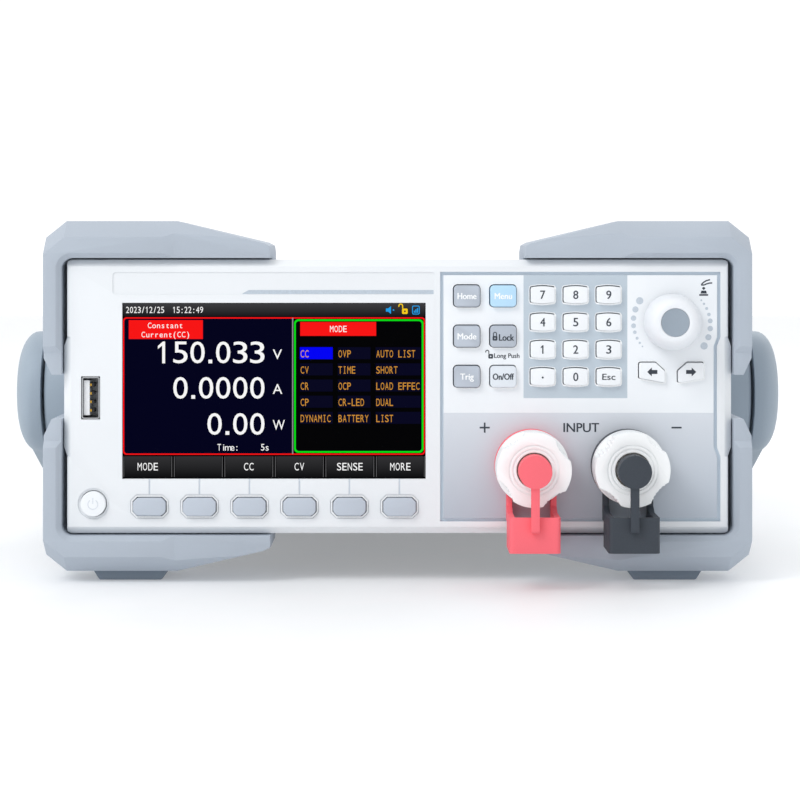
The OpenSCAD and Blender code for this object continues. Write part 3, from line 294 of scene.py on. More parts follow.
def moulded(name, colour, roughness, grain=0.3, depth=0.008, drift=0.03, edge=0.04):
    """A moulded finish: grain and its depth in mm, colour drift, and edge wear plus painted edge highlight.
    """
    made, tree, surface, where = empty_finish(name)
    fine = grain_noise(tree, where, grain)
    base = hexed(colour)
    tone = uneven(tree, grain_noise(tree, where, COLOUR_PATCH), base, dark=1 - drift, light=1 + drift)
    speck = mixed(tree, spread(tree, fine, 0, SPECK_SHARE), tone, shaded(base, SPECK_SHADE))
    # Pointiness lightens the edges: partly wear, partly a painted highlight where edges catch the light.
    point = shader(tree, "NewGeometry", {}).outputs["Pointiness"]
    sockets = {"Value": point, "From Min": EDGE_START, "From Max": EDGE_FULL, "To Max": edge * EDGE_SHARE}
    wear_and_highlight = shader(tree, "MapRange", sockets).outputs["Result"]
    tone_with_lit_edges = mixed(tree, wear_and_highlight, speck, shaded(base, 1 + EDGE_LIGHT * edge))
    coat(tree, surface, tone_with_lit_edges, spread(tree, fine, roughness - GLOSS_SPREAD, roughness + GLOSS_SPREAD))
    bumped(tree, surface, fine, depth)
    return made


# The edge values lighten key and guard rims, as wear and as painted highlight, most on the soft keys.
grey_key = moulded("key_grey", "#b2bac5", 0.45, edge=0.1)
pale_key = moulded("key_pale", "#dde3ea", 0.4)
blue_key = moulded("key_blue", "#b9dff9", 0.4)
white_key = moulded("key_white", "#eff2f5", 0.4)
softkey_grey = moulded("softkey_grey", "#b8c0cb", 0.5, edge=0.16)
knob_white = moulded("knob_white", "#eceff3", 0.42)
insert_grey = moulded("insert_grey", "#96a2ae", 0.35, grain=0.12)
nut_white = moulded("nut_white", "#fafcfd", 0.32, depth=0.004)
red_rubber = moulded("red_rubber", "#fa6a76", 0.62, grain=0.4, depth=0.02, drift=0.05)
black_rubber = moulded("black_rubber", "#333a43", 0.62, grain=0.4, depth=0.02, drift=0.08)
guard_grey = moulded("guard_grey", "#afb8c3", 0.6, grain=0.35, depth=0.015, edge=0.05)
hub_grey = moulded("hub_grey", "#9daab6", 0.55, grain=0.5, depth=0.02, edge=0.05)
foot_grey = moulded("foot_grey", "#828e9b", 0.75, grain=0.5, depth=0.03)
dark_plastic = moulded("dark_plastic", "#202328", 0.45, depth=0.01, drift=0.1)
print(len(bpy.data.materials), "materials so far")

# %% [markdown]
# The front panel's own plastic.
# The bezel is the same moulded plastic, with one addition: the groove around the control field is painted
# blue-grey, and so are the lines that lead up from the soft keys, a little paler. Separate strips would
# need their own thin solids, so we let the finish look at its place instead: whatever lies deeper than the
# face, inside a given rectangle, gets the paint.

# %% Front panel plastic
PAINT_DEEP = 0.25
GROOVE_FLOOR, LEADER_FLOOR = 1.5, 0.7
FIELD_EDGE = 1.2
SOFT_KEYS_TOP = -25.0
SOFT_DISH = 0.36


def zone(tree, where, left, low, right, high, near, far):
    """1 inside a rectangle of the panel (mm), between two depths behind its face, and 0 elsewhere."""
    split = shader(tree, "SeparateXYZ", {0: where}).outputs
    inside = None
    for axis, start, end, middle in (("X", left, right, panel_mid.x), ("Z", low, high, panel_mid.z),
                                     ("Y", near, far, face_y)):
        over = math_node(tree, "GREATER_THAN", split[axis], middle + start * MM)
        under = math_node(tree, "LESS_THAN", split[axis], middle + end * MM)
        both = math_node(tree, "MULTIPLY", over, under)
        inside = both if inside is None else math_node(tree, "MULTIPLY", inside, both)
    return inside


def repaint(made, paint, *limits):
    """Lays a colour over a finish inside a zone, and gives that zone back."""
    tree = made.node_tree
    base = tree.nodes["Principled BSDF"].inputs["Base Color"]
    inside = zone(tree, shader(tree, "TexCoord", {}).outputs["Object"], *limits)
    tree.links.new(mixed(tree, inside, base.links[0].from_socket, hexed(paint)), base)
    return inside


shell_white = moulded("shell_white", "#e7eaed", 0.4, grain=0.2, depth=0.004, drift=0.012)
left, low, right, high = panel_box("control_overlay")[:4]
repaint(shell_white, "#c9d5e0", left - FIELD_EDGE, low - FIELD_EDGE, right + FIELD_EDGE, high + FIELD_EDGE,
        PAINT_DEEP, GROOVE_FLOOR)
first, last = panel_box("softkey_1"), panel_box("softkey_6")
repaint(shell_white, "#d3dae2", first[0], first[3] + SOFT_DISH, last[2], SOFT_KEYS_TOP,
        PAINT_DEEP, LEADER_FLOOR)
print("groove paint from", round(left - FIELD_EDGE, 1), "to", round(right + FIELD_EDGE, 1), "mm")

# %% [markdown]
# The printed overlay.
# The control field is one sheet of plastic, printed on its front: pale at the top, a grey patch behind the
# digit keys, and a grey field behind the binding posts that is darker towards the bottom. Its cut edges are
# white, the sheet's own colour and also a painted highlight where the openings' edges catch the light.
# Loose patches of mesh would need a hole for every key. A finish that compares its own place with the
# patch's edges prints around the keys, and its depth tells it where an edge is.

# %% Printed overlay
PATCH_LEFT, PATCH_RIGHT, PATCH_LOW = 39.9, 72.8, -0.45
LOWER_FIELD_TOP, LOWER_FIELD_END = -5.1, -39.0
CUT_DEPTH = 0.03
FAR = 500
overlay_out = panel_box("control_overlay")[4]


def rise(tree, where, low, high):
    """0 at one height of the panel (mm) and 1 at another, even in between."""
    up = shader(tree, "SeparateXYZ", {0: where}).outputs["Z"]
    sockets = {"Value": up, "From Min": panel_mid.z + low * MM, "From Max": panel_mid.z + high * MM}
    return shader(tree, "MapRange", sockets).outputs["Result"]


def printed_film():
    made, tree, surface, where = empty_finish("overlay_film")
    patch = zone(tree, where, PATCH_LEFT, PATCH_LOW, PATCH_RIGHT, FAR, -FAR, FAR)
    lower = zone(tree, where, -FAR, -FAR, FAR, LOWER_FIELD_TOP, -FAR, FAR)
    # Cut edges are white: the sheet's own colour, and a painted highlight along the openings.
    cut = zone(tree, where, -FAR, -FAR, FAR, FAR, CUT_DEPTH - overlay_out, FAR)
    broad = spread(tree, grain_noise(tree, where, size_mm=25), 0, 1)
    upper = mixed(tree, patch, mixed(tree, broad, hexed("#eaeef2"), hexed("#f1f4f7")), hexed("#bcc8d2"))
    # The lower field is darker towards the bottom.
    fall = rise(tree, where, LOWER_FIELD_END, LOWER_FIELD_TOP)
    face = mixed(tree, lower, upper, mixed(tree, fall, hexed("#b3bcc7"), hexed("#d5dae1")))
    fine = grain_noise(tree, where, size_mm=0.15)
    coat(tree, surface, mixed(tree, cut, face, hexed("#f6f8fa")), spread(tree, fine, low=0.42, high=0.56))
    bumped(tree, surface, fine, depth_mm=0.003, strength=0.4)
    return made


overlay_film = printed_film()
print("keypad patch", round(PATCH_RIGHT - PATCH_LEFT, 1), "mm wide")

# %% [markdown]
# Powder coat.
# The case is sheet steel under a paint that is baked from powder. It dries with a slight orange peel, about
# a millimetre from bump to bump. Real bumps in the mesh would cost millions of faces, so a bump node draws
# them, and a finer noise gives the sparkle.

# %% Powder coat


def powder_coat(name, colour):
    """Paint baked from powder: a soft orange peel and a fine sparkle."""
    made, tree, surface, where = empty_finish(name)
    base = hexed(colour)
    tone = uneven(tree, grain_noise(tree, where, size_mm=60), base, dark=0.97, light=1.03)
    fine = grain_noise(tree, where, size_mm=0.2)
    sparkle = mixed(tree, spread(tree, fine, low=0, high=0.3), tone, shaded(base, 0.9))
    coat(tree, surface, sparkle, spread(tree, fine, low=0.42, high=0.58))
    bumped(tree, surface, grain_noise(tree, where, size_mm=1.1, detail=2), depth_mm=0.05, strength=0.35)
    return made


cover_paint = powder_coat("cover_paint", "#c2c8d0")
rear_paint = powder_coat("rear_paint", "#b6bcc4")
print(cover_paint.name, "and", rear_paint.name)

# %% [markdown]
# Plated metal.
# Screws, washers, studs and sockets are bare or plated metal with fine marks from turning or drawing. A
# plain metallic shader would look like liquid. A noise that is stretched along one axis gives marks that
# run one way, and each metal has its own colour, gloss and direction.

# %% Plated metal
GLOSSIER, DULLER = 0.08, 0.1


def plated(name, colour, roughness, stretch=(1, 1, 25)):
    """Bare or plated metal with marks that run one way."""
    made, tree, surface, where = empty_finish(name)
    marks = shader(tree, "Mapping", {"Vector": where, "Scale": stretch}).outputs["Vector"]
    lines = grain_noise(tree, marks, size_mm=2.0, detail=4)
    tone = uneven(tree, lines, hexed(colour), dark=0.88, light=1.06)
    coat(tree, surface, tone, spread(tree, lines, roughness - GLOSSIER, roughness + DULLER))
    surface.inputs["Metallic"].default_value = 1.0
    bumped(tree, surface, lines, depth_mm=0.004, strength=0.3)
    return made


steel = plated("plated_steel", "#c4c6c8", 0.28)
aluminium = plated("drawn_aluminium", "#d0d3d6", 0.4, (1, 30, 1))
brass = plated("turned_brass", "#c8a24e", 0.3, (1, 25, 1))
gold = plated("gold_contact", "#d8aa4a", 0.25, (1, 20, 1))
print("steel, aluminium, brass and gold")

# %% [markdown]
# Zinc sheet and circuit boards.
# The tray inside is galvanised, and its zinc sets in flat crystals. The boards carry green lacquer over
# copper tracks. Both patterns are cells of different shapes, so a Voronoi texture draws both: its random
# colours make the crystals, and the distance from a cell's middle makes the tracks. What stands on the
# board is dark.

# %% Zinc sheet and circuit boards
CRYSTAL, TRACK_PITCH = 9, 4
TRACK_EDGE, TRACK_FULL = 0.42, 0.5
# Left, low, right, high, near and far limits of what stands on the main board
BOARD_PARTS = (-100, -32.5, 20, 40, 0, 400)


def zinc_sheet(name):
    """Galvanised steel with its flat crystals."""
    made, tree, surface, where = empty_finish(name)
    crystals = shader(tree, "TexVoronoi", {"Vector": where, "Scale": 1 / (CRYSTAL * MM)}).outputs["Color"]
    grey = shader(tree, "RGBToBW", {0: crystals}).outputs[0]
    tone = mixed(tree, grey, hexed("#a9adb1"), hexed("#c7cacd"))
    coat(tree, surface, tone, spread(tree, grey, low=0.3, high=0.48))
    surface.inputs["Metallic"].default_value = 0.9
    return made


def circuit_lacquer(name):
    """Green solder mask over copper tracks."""
    made, tree, surface, where = empty_finish(name)
    sockets = {"Vector": where, "Scale": 1 / (TRACK_PITCH * MM)}
    cells = shader(tree, "TexVoronoi", sockets, distance="MANHATTAN", feature="F1").outputs["Distance"]
    sockets = {"Value": cells, "From Min": TRACK_EDGE, "From Max": TRACK_FULL}
    tracks = shader(tree, "MapRange", sockets).outputs["Result"]
    tree.links.new(mixed(tree, tracks, hexed("#1d6a43"), hexed("#2f8556")), surface.inputs["Base Color"])
    surface.inputs["Roughness"].default_value = 0.35
    bumped(tree, surface, tracks, depth_mm=0.03, strength=0.4)
    return made


zinc = zinc_sheet("zinc_sheet")
lacquer = circuit_lacquer("circuit_lacquer")
board_mix = circuit_lacquer("board_lacquer")
repaint(board_mix, "#26292e", *BOARD_PARTS)
print("crystals of", CRYSTAL, "mm and tracks", TRACK_PITCH, "mm apart")

# %% [markdown]
# Plastic inside metal.
# The upright socket is a steel shell round a white tongue, and the card at the rear carries a green plug.
# Each is one solid, so its finish has to hold both materials. A second material on chosen faces would need
# their numbers. A zone, as for the panel's paint, also takes the metallic value away.

# %% Plastic inside metal
SHELL_WALL, SOCKET_DEEP = 0.6, 20
# Left, low, right, high, near and far limits of the green plug
GREEN_PLUG = (-100, -40, 100, 0, 250, 400)


def inlaid(made, paint, *limits):
    """Turns part of a metal finish into plastic of that colour."""
    tree = made.node_tree
    metal = math_node(tree, "SUBTRACT", 1.0, repaint(made, paint, *limits))
    tree.links.new(metal, tree.nodes["Principled BSDF"].inputs["Metallic"])


shell_steel = plated("socket_steel", "#b9bbbd", 0.3, (20, 1, 1))
left, low, right, high = panel_box("usb_socket")[:4]
inlaid(shell_steel, "#eef0f2", left + SHELL_WALL, low + SHELL_WALL, right - SHELL_WALL, high - SHELL_WALL,
       SHELL_WALL, SOCKET_DEEP)
card_steel = plated("card_steel", "#c4c6c8", 0.3)
inlaid(card_steel, "#2f8f5a", *GREEN_PLUG)
print(len(bpy.data.materials), "materials so far")

# %% [markdown]
# Rounded edges.
# A moulded part has no sharp edge: each one carries a small radius, and that radius is what catches the
# light. A bevel modifier on the solid would also round seams between triangles. So we copy the solid's
# mesh, weld it, dissolve its flat triangles into whole faces, and bevel only edges that really turn a
# corner. The copy stands for the solid, which stays in the model for collisions.

# %% Rounded edges
WELD = 0.004 * MM
FLAT = math.radians(0.8)
CORNER = math.radians(28)


def piece(name, mesh, body):
    """Links a mesh as a piece that rides on a body."""
    made = bpy.data.objects.new(name, mesh)
    bpy.context.scene.collection.objects.link(made)
    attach(made, body)
    return made


def rounded(node, finish, *rounds):
    """A copy of a solid with rounded edges. Each round is a radius in mm, its steps and perhaps a test."""
    work = bmesh.new()
    work.from_mesh(nodes[node].data)
    bmesh.ops.remove_doubles(work, verts=work.verts, dist=WELD)
    bmesh.ops.dissolve_limit(work, angle_limit=FLAT, verts=work.verts, edges=work.edges)
    for radius, steps, *tests in rounds:
        turning = [e for e in work.edges if e.is_manifold and e.calc_face_angle() > CORNER]
        chosen = [e for e in turning if all(test(e) for test in tests)]
        bmesh.ops.bevel(work, geom=chosen, offset=radius * MM, offset_type="OFFSET", segments=steps,
                        profile=0.5, affect="EDGES", clamp_overlap=True)
    mesh = bpy.data.meshes.new(node + "_skin")
    work.to_mesh(mesh)
    work.free()
    if "custom_normal" in mesh.attributes:
        mesh.attributes.remove(mesh.attributes["custom_normal"])
    mesh.materials.clear()
    mesh.materials.append(finish)
    mesh.polygons.foreach_set("material_index", [0] * len(mesh.polygons))
    mesh.shade_smooth()
    mesh.set_sharp_from_angle(angle=CORNER)
    made = piece(node + "_skin", mesh, body_of_node[node])
    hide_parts(node)


print("corners sharper than", round(math.degrees(CORNER)), "degrees are rounded")

# %% [markdown]
# Front panel, overlay and corner guards.
# The panel's outer edge has a larger radius than its many openings, so it is rounded in two passes. The
# guards are thick soft plastic with generous edges. One radius for all edges would either leave the guards
# sharp or close up the panel's fine grooves.

# %% Front panel, overlay and guards
EDGE_ZONE = 3.5


def at_rim(edge):
    """True for edges near the outline of the front panel."""
    for vertex in edge.verts:
        side = abs(vertex.co.x - panel_mid.x) > (bezel_high.x - panel_mid.x) - EDGE_ZONE * MM
        end = abs(vertex.co.z - panel_mid.z) > (bezel_high.z - panel_mid.z) - EDGE_ZONE * MM
        if not (side or end):
            return False
    return True


def inside_rim(edge):
    return not at_rim(edge)


rounded("front_bezel", shell_white, (0.4, 2, at_rim), (0.1, 1, inside_rim))
rounded("control_overlay", overlay_film, (0.12, 1))
for guards in ("front_bumpers", "rear_bumpers"):
    rounded(guards, guard_grey, (0.5, 2))
rounded("feet", foot_grey, (0.5, 2))
rounded("handle_hubs", hub_grey, (0.5, 2))
rounded("handle", hub_grey, (0.7, 3))
print("panel, overlay, guards, feet and handle rounded")

# %% [markdown]
# Keys.
# Every key is its own moulding that slides in its opening, so every key gets its own rounded copy that
# rides on the key's body. The finishes follow the photograph: grey soft keys, white digits, one pale blue
# key. One loop rounds them all, because only their places and finishes differ.

# %% Keys
KEY_EDGE = (0.45, 3)
soft_keys = [f"softkey_{i}" for i in range(1, 7)]
digit_keys = [f"key_{i}" for i in range(10)] + ["key_point", "key_esc"]
key_finish = dict.fromkeys(soft_keys, softkey_grey)
key_finish.update(dict.fromkeys(digit_keys + ["key_left", "key_right", "power_button"], white_key))
key_finish.update({"key_home": grey_key, "key_mode": grey_key, "key_trig": grey_key})
key_finish.update({"key_menu": blue_key, "key_lock": grey_key, "key_on_off": pale_key})
for name, finish in key_finish.items():
    rounded(name, finish, KEY_EDGE)
print(len(key_finish), "keys")

# %% [markdown]
# Knob and posts.
# The knob is one smooth moulding with a grey disc let into its front. Each post has a hard white nut over a
# soft rubber cover and a rubber plug on a strap. They could be turned anew as lathe profiles, but the
# solids have the lobes and grooves already, so they only need their radii. The posts differ in the rubber's
# colour.

# %% Knob and posts
rounded("knob", knob_white, (0.35, 3))
rounded("knob_insert", insert_grey, (0.08, 1))
for side, rubber in (("red", red_rubber), ("black", black_rubber)):
    rounded(side + "_nut", nut_white, (0.4, 3))
    rounded(side + "_cover", rubber, (0.5, 3))
    rounded(side + "_plug", rubber, (0.35, 3))
print("a knob and two posts")

# %% [markdown]
# Pieces that keep their solid shape.
# Sheet metal is cut and bent, so its edges are sharp enough as they are, and what sits inside the case
# hardly shows. These solids stay in the scene and only get a finish, which is the cheapest way and keeps
# their true bends and slots.

# %% Pieces that keep their solid shape
plain_finish = {
    "top_cover": cover_paint, "rear_panel": rear_paint, "chassis": zinc, "screws": steel,
    "red_stud": brass, "black_stud": brass, "red_washer": steel, "black_washer": steel,
    "encoder_shaft": steel, "fan_frame": dark_plastic, "fan_rotor": dark_plastic, "heatsink": aluminium,
    "main_board": board_mix, "front_board": lacquer, "ac_inlet": dark_plastic,
    "interface_card": card_steel, "usb_socket": shell_steel, "lcd_module": dark_plastic,
}
for name, finish in plain_finish.items():
    mesh = nodes[name].data
    mesh.materials.clear()
    mesh.materials.append(finish)
print(len(plain_finish), "solids get a finish")

# %% [markdown]
# Thin solids.
# Legends, icons and the picture on the screen are all flat shapes a few hundredths of a millimetre thick.
# They could be painted into a texture, but a texture blurs in a close view. Thin closed solids stay sharp
# at any distance. A shape is a list of points (across, up, out) and a list of faces.

# %% Thin solids
INK = 0.04


def slab(outline, low=0.0, high=INK):
    """A flat closed solid over an outline that runs anticlockwise."""
    count = len(outline)
    points = [(x, y, high) for x, y in outline] + [(x, y, low) for x, y in outline]
    faces = [list(range(count)), list(range(2 * count - 1, count - 1, -1))]
    faces += [[i, i + count, (i + 1) % count + count, (i + 1) % count] for i in range(count)]
    return points, faces


def band(outer, inner, high=INK):
    """A closed frame between two outlines with as many points each."""
    count = len(outer)
    levels = [(outer, high), (inner, high), (inner, 0.0), (outer, 0.0)]
    points = [(x, y, h) for outline, h in levels for x, y in outline]
    faces = []
    for i in range(count):
        j = (i + 1) % count
        for level in range(4):
            a, b = level * count, (level + 1) % 4 * count
            faces.append([a + i, a + j, b + j, b + i])
    return points, faces


print("shapes are", INK, "mm thick")

# %% [markdown]
# Outlines.
# Most printed signs are boxes, rounds and lines. Blender's curves could draw them, but each would have to
# be turned into a mesh again. A few functions that give lists of points do the same with less.

# %% Outlines
ROUND_STEPS = 8
CIRCLE_POINTS = 24


def arc(x, y, r, start, end, steps):
    """Points on an arc, with angles in degrees."""
    angles = [math.radians(start + (end - start) * i / steps) for i in range(steps + 1)]
    return [(x + r * math.cos(a), y + r * math.sin(a)) for a in angles]


def box_outline(left, low, right, high, r=0.0):
    """A rectangle, with round corners where r is given."""
    if not r:
        return [(left, low), (right, low), (right, high), (left, high)]
    outline = []
    for x, y, start in ((right - r, low + r, -90), (right - r, high - r, 0),
                        (left + r, high - r, 90), (left + r, low + r, 180)):
        outline += arc(x, y, r, start, start + 90, ROUND_STEPS)
    return outline


def round_outline(x, y, r):
    return arc(x, y, r, 0, 360 * (1 - 1 / CIRCLE_POINTS), CIRCLE_POINTS - 1)


def stroke(path, width, high=INK):
    """A line of even width along a path of points."""
    left, right = [], []
    for i, (x, y) in enumerate(path):
        before, after = path[max(i - 1, 0)], path[min(i + 1, len(path) - 1)]
        along = Vector((after[0] - before[0], after[1] - before[1])).normalized() * width / 2
        left.append((x - along.y, y + along.x))
        right.append((x + along.y, y - along.x))
    return slab(right + left[::-1], 0.0, high)


print("a round corner has", 4 * ROUND_STEPS, "steps to the full turn")

# %% [markdown]
# Printed pieces.
# One print on the object is one pass of the press, and may hold many signs in more than one ink. An object
# for every sign would fill the scene, so a piece gathers its signs in one mesh, with a material for each
# ink.

# %% Printed pieces


def printed(name, groups, body, out):
    """One piece of thin shapes, out mm in front of the panel's face. groups pairs finishes with shapes."""
    mesh = bpy.data.meshes.new(name)
    points, faces, which = [], [], []
    for index, (finish, shapes) in enumerate(groups):
        mesh.materials.append(finish)
        for shape_points, shape_faces in shapes:
            first = len(points)
            points += [on_panel(x, y, out + h) for x, y, h in shape_points]
            faces += [[first + i for i in face] for face in shape_faces]
            which += [index] * len(shape_faces)
    mesh.from_pydata(points, [], faces)
    mesh.polygons.foreach_set("material_index", which)
    mesh.update()
    piece(name, mesh, body)


print("print on the control field ends", round(overlay_out + INK, 2), "mm out of the panel's face")

# %% [markdown]
# Lettering.
# Blender's text object knows the letters, so we let it set each line and take its mesh. A text object could
# stay in the scene, but many small ones are slow, and their size follows the font rather than the print. We
# measure the capital H once, so that a height in millimetres is the height of the capitals.

# %% Lettering


def letter_mesh(text, size):
    """Points and faces of a line of text that stands on its baseline."""
    line = bpy.data.curves.new("line", "FONT")
    line.body = text
    line.size = size
    line.extrude = INK / 2
    line.resolution_u = 4
    setter = bpy.data.objects.new("line", line)
    bpy.context.scene.collection.objects.link(setter)
    mesh = bpy.data.meshes.new_from_object(setter)
    points = [(v.co.x, v.co.y, v.co.z + INK / 2) for v in mesh.vertices]
    faces = [list(p.vertices) for p in mesh.polygons]
    bpy.data.objects.remove(setter)
    bpy.data.curves.remove(line)
    bpy.data.meshes.remove(mesh)
    return points, faces


capital_share = max(p[1] for p in letter_mesh("H", 1.0)[0])
print("capitals are", round(capital_share, 3), "of the text size")

# %% [markdown]
# Lines of words.
# The legends are bolder than the font. A text object can be made bold by an offset of its curves, but small
# letters then fold over themselves. So we strike each line three times, a little apart, as a typewriter
# does.

# %% Lines of words
STRIKES = [(-0.5, 0), (0.5, 0), (0, 0.4)]
STRIKE_LIFT = 0.004


def struck(shape, bold):
    """The same shape three times, bold mm apart and each a trace higher."""
    points, faces = shape
    if not bold:
        return shape
    count = len(points)
    moved = [(x + across * bold, y + up * bold, h + i * STRIKE_LIFT)
             for i, (across, up) in enumerate(STRIKES) for x, y, h in points]
    return moved, [[index + i * count for index in face] for i in range(len(STRIKES)) for face in faces]


def words(text, x, y, height, width=None, align=0.5, bold=0.0):
    """A line of text on the baseline y. align is 0 to start at x, 0.5 to centre on it and 1 to end there."""
    points, faces = letter_mesh(text, height / capital_share)
    left, right = min(p[0] for p in points), max(p[0] for p in points)
    scale = width / (right - left) if width else 1.0
    start = x - align * (right - left) * scale
    return struck(([(start + (px - left) * scale, y + py, h) for px, py, h in points], faces), bold)


print("bold is", len(STRIKES), "strikes")

# %% [markdown]
# Letters one by one.
# The display and the digit keys have letters of one width. The font's figures and capitals differ in width,
# so each one is stretched to its cell. The font's 1 and I are bare strokes, which a stretch would make into
# bars, so the flag of the 1 and the serifs of the I are drawn here.

# %% Letters one by one
ONE = [(0.42, 0), (0.62, 0), (0.62, 1), (0.47, 1), (0.12, 0.8), (0.12, 0.66), (0.42, 0.82)]
SERIF_I = [(0.2, 0), (0.8, 0), (0.8, 0.1), (0.58, 0.1), (0.58, 0.9), (0.8, 0.9),
           (0.8, 1), (0.2, 1), (0.2, 0.9), (0.42, 0.9), (0.42, 0.1), (0.2, 0.1)]
FULL = "023456789ABCDEFGHJKLMNOPQRSTUVWXYZ"
LETTER_SHARE = 0.8


def glyph(letter, x, y, width, height, bold=0.0):
    """One letter, centred on x. Figures and capitals fill their width and height."""
    drawn = {"1": ONE, "I": SERIF_I}.get(letter)
    if drawn:
        return struck(slab([(x + (px - 0.5) * width, y + py * height) for px, py in drawn]), bold)
    points, faces = words(letter, x, y, height)
    if letter not in FULL:
        return struck((points, faces), bold)
    low, high = min(p[1] for p in points), max(p[1] for p in points)
    left, right = min(p[0] for p in points), max(p[0] for p in points)
    wide, tall = width / (right - left), height / (high - low)
    fitted = [(x + (px - (left + right) / 2) * wide, y + (py - low) * tall, h) for px, py, h in points]
    return struck((fitted, faces), bold)


def typed(text, x, y, height, pitch):
    """Letters on an even pitch, as on a character display."""
    return [glyph(letter, x + (i + 0.5) * pitch, y, pitch * LETTER_SHARE, height)
            for i, letter in enumerate(text) if letter != " "]


print(len(FULL), "letters fill their cells")

# %% [markdown]
# Inks.
# Screen printing lays down a slightly uneven film of ink. A flat colour would look cut from paper, so each
# ink is a nearly flat colour with a little noise in its colour and gloss.

# %% Inks


def ink(name, colour):
    made, tree, surface, where = empty_finish(name)
    film = grain_noise(tree, where, size_mm=0.5)
    tone = uneven(tree, film, hexed(colour), dark=0.92, light=1.06)
    coat(tree, surface, tone, spread(tree, film, low=0.45, high=0.58))
    return made


dark_ink = ink("ink_dark", "#2c343f")
white_ink = ink("ink_white", "#f7f9fb")
grey_ink = ink("ink_grey", "#c3ccd6")
faint_ink = ink("ink_faint", "#d9dee4")
strip_ink = ink("ink_strip", "#b9c4cf")
print("dark, white and three grey inks")

# %% [markdown]
# Words on the keys.
# A legend moves with its key, so each one is a piece of its own on the key's body, lying on the key's
# front. Printing them all as one sheet would be shorter, but then the letters would stay behind when a key
# goes in.

# %% Words on the keys
WORD_TALL, BOLD = 1.9, 0.16
WORD_KEYS = [("key_home", "Home", 5.9, white_ink), ("key_menu", "Menu", 5.4, white_ink),
             ("key_mode", "Mode", 5.9, white_ink), ("key_trig", "Trig", 4.2, white_ink),
             ("key_on_off", "On/Off", 6.6, dark_ink)]


def middle_of(node):
    left, low, right, high, out = panel_box(node)
    return (left + right) / 2, (low + high) / 2, out


def legend(node, finish, shapes):
    """Prints shapes, drawn around the middle of a key, on that key."""
    x, y, out = middle_of(node)
    moved = [([(px + x, py + y, h) for px, py, h in points], faces) for points, faces in shapes]
    printed(node + "_legend", [(finish, moved)], body_of_node[node], out)


for name, text, width, finish in WORD_KEYS:
    legend(name, finish, [words(text, 0, -WORD_TALL / 2, WORD_TALL, width, bold=BOLD)])
print(len(WORD_KEYS), "words on keys")

# %% [markdown]
# The padlock.
# A small padlock stands before the word Lock, another one, open, below that key, and a third on the screen.
# One drawing serves all three, so its sizes are shares of the padlock's width, and only the bow differs.

# %% Padlock
LOCK_TALL, LOCK_CORNER = 0.48, 0.2
PLATE_SHARE, PLATE_CORNER = 0.3, 0.1
BOW_RADIUS, BOW_UP, BOW_LINE, BOW_STEPS = 0.33, 0.95, 0.19, 8
OPEN_SHIFT, OPEN_END = -0.72, 0.15


def padlock(x, y, size, is_open):
    """A closed or open padlock whose body is that wide, with a light keyhole plate."""
    half, tall = size / 2, size * LOCK_TALL
    wide, high = half * PLATE_SHARE, tall * PLATE_SHARE
    outer = box_outline(x - half, y - tall, x + half, y + tall, size * LOCK_CORNER)
    inner = box_outline(x - wide, y - high, x + wide, y + high, size * PLATE_CORNER)
    middle = x + (size * OPEN_SHIFT if is_open else 0)
    r, top = size * BOW_RADIUS, y + size * BOW_UP
    bow = [(middle + r, y + tall)] + arc(middle, top, r, 0, 180, BOW_STEPS)
    bow.append((middle - r, top - size * OPEN_END if is_open else y + tall))
    return [band(outer, inner), stroke(bow, size * BOW_LINE)]


lock_word = words("Lock", x=1.0, y=-1.35, height=WORD_TALL * 1.05, width=4.7, bold=BOLD)
legend("key_lock", dark_ink, [lock_word] + padlock(x=-2.65, y=-0.6, size=1.5, is_open=False))
print("a padlock of", len(padlock(0, 0, 1, True)), "shapes")

# %% [markdown]
# Digits, arrows and the power sign.
# The digits are centred on their keys, a little less bold than the words. The two arrows are one outline,
# once mirrored: a mirrored outline runs the wrong way round, so its points are taken in reverse. The power
# sign is an open ring with a bar, in a faint ink, because it hardly shows in the photograph.

# %% Digits, arrows and the power sign
DIGIT_TALL, DIGIT_SHARE = 2.65, 0.58
DIGIT_BOLD, ESC_BOLD = BOLD * 0.6, BOLD * 0.5
ARROW = [(-1.6, -0.62), (0.15, -0.62), (0.15, -1.4), (1.6, 0), (0.15, 1.4), (0.15, 0.62), (-1.6, 0.62)]
ARROW_UP = 0.25
for number in range(10):
    figure = glyph(str(number), 0, -DIGIT_TALL / 2, DIGIT_TALL * DIGIT_SHARE, DIGIT_TALL, bold=DIGIT_BOLD)
    legend(f"key_{number}", dark_ink, [figure])
legend("key_esc", dark_ink, [words("Esc", 0, -WORD_TALL / 2, WORD_TALL, width=4.1, bold=ESC_BOLD)])
legend("key_point", dark_ink, [slab(round_outline(0, y=-0.2, r=0.32))])
for name, way in (("key_left", -1), ("key_right", 1)):
    turned = [(way * x, y + ARROW_UP) for x, y in ARROW]
    legend(name, dark_ink, [slab(turned if way > 0 else turned[::-1])])
power_ring = stroke(arc(0, -0.1, r=1.55, start=125, end=415, steps=24), width=0.32)
legend("power_button", faint_ink, [power_ring, slab(box_outline(-0.16, 0.1, 0.16, 2.0))])
print("legends on", len(key_finish) - len(soft_keys), "keys")

# %% [markdown]
# White rims round the keys.
# A white band is printed round every opening: partly the sheet's white edge, and partly a painted highlight
# where the opening's edge catches the light. Below and to the right of a key the band reaches in towards it
# and paints light over the gap, so that the dark shade of the gap shows only above and to the left. Drawing
# each rim by hand would repeat the keys' shapes. We take the outline of the part of the key that stands out,
# as a rubber band round its points would run, and grow it.

# %% White rims round the keys
RIM_END = 0.6
GAP_EDGE = 0.38
LIP_WHITE, LIP_GREY = 0.09, 0.2
SHADE_SIDE = Vector((-1, 1)).normalized()
SHADE_SLOPE = 1.5
overlay_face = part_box("control_overlay")[0].y


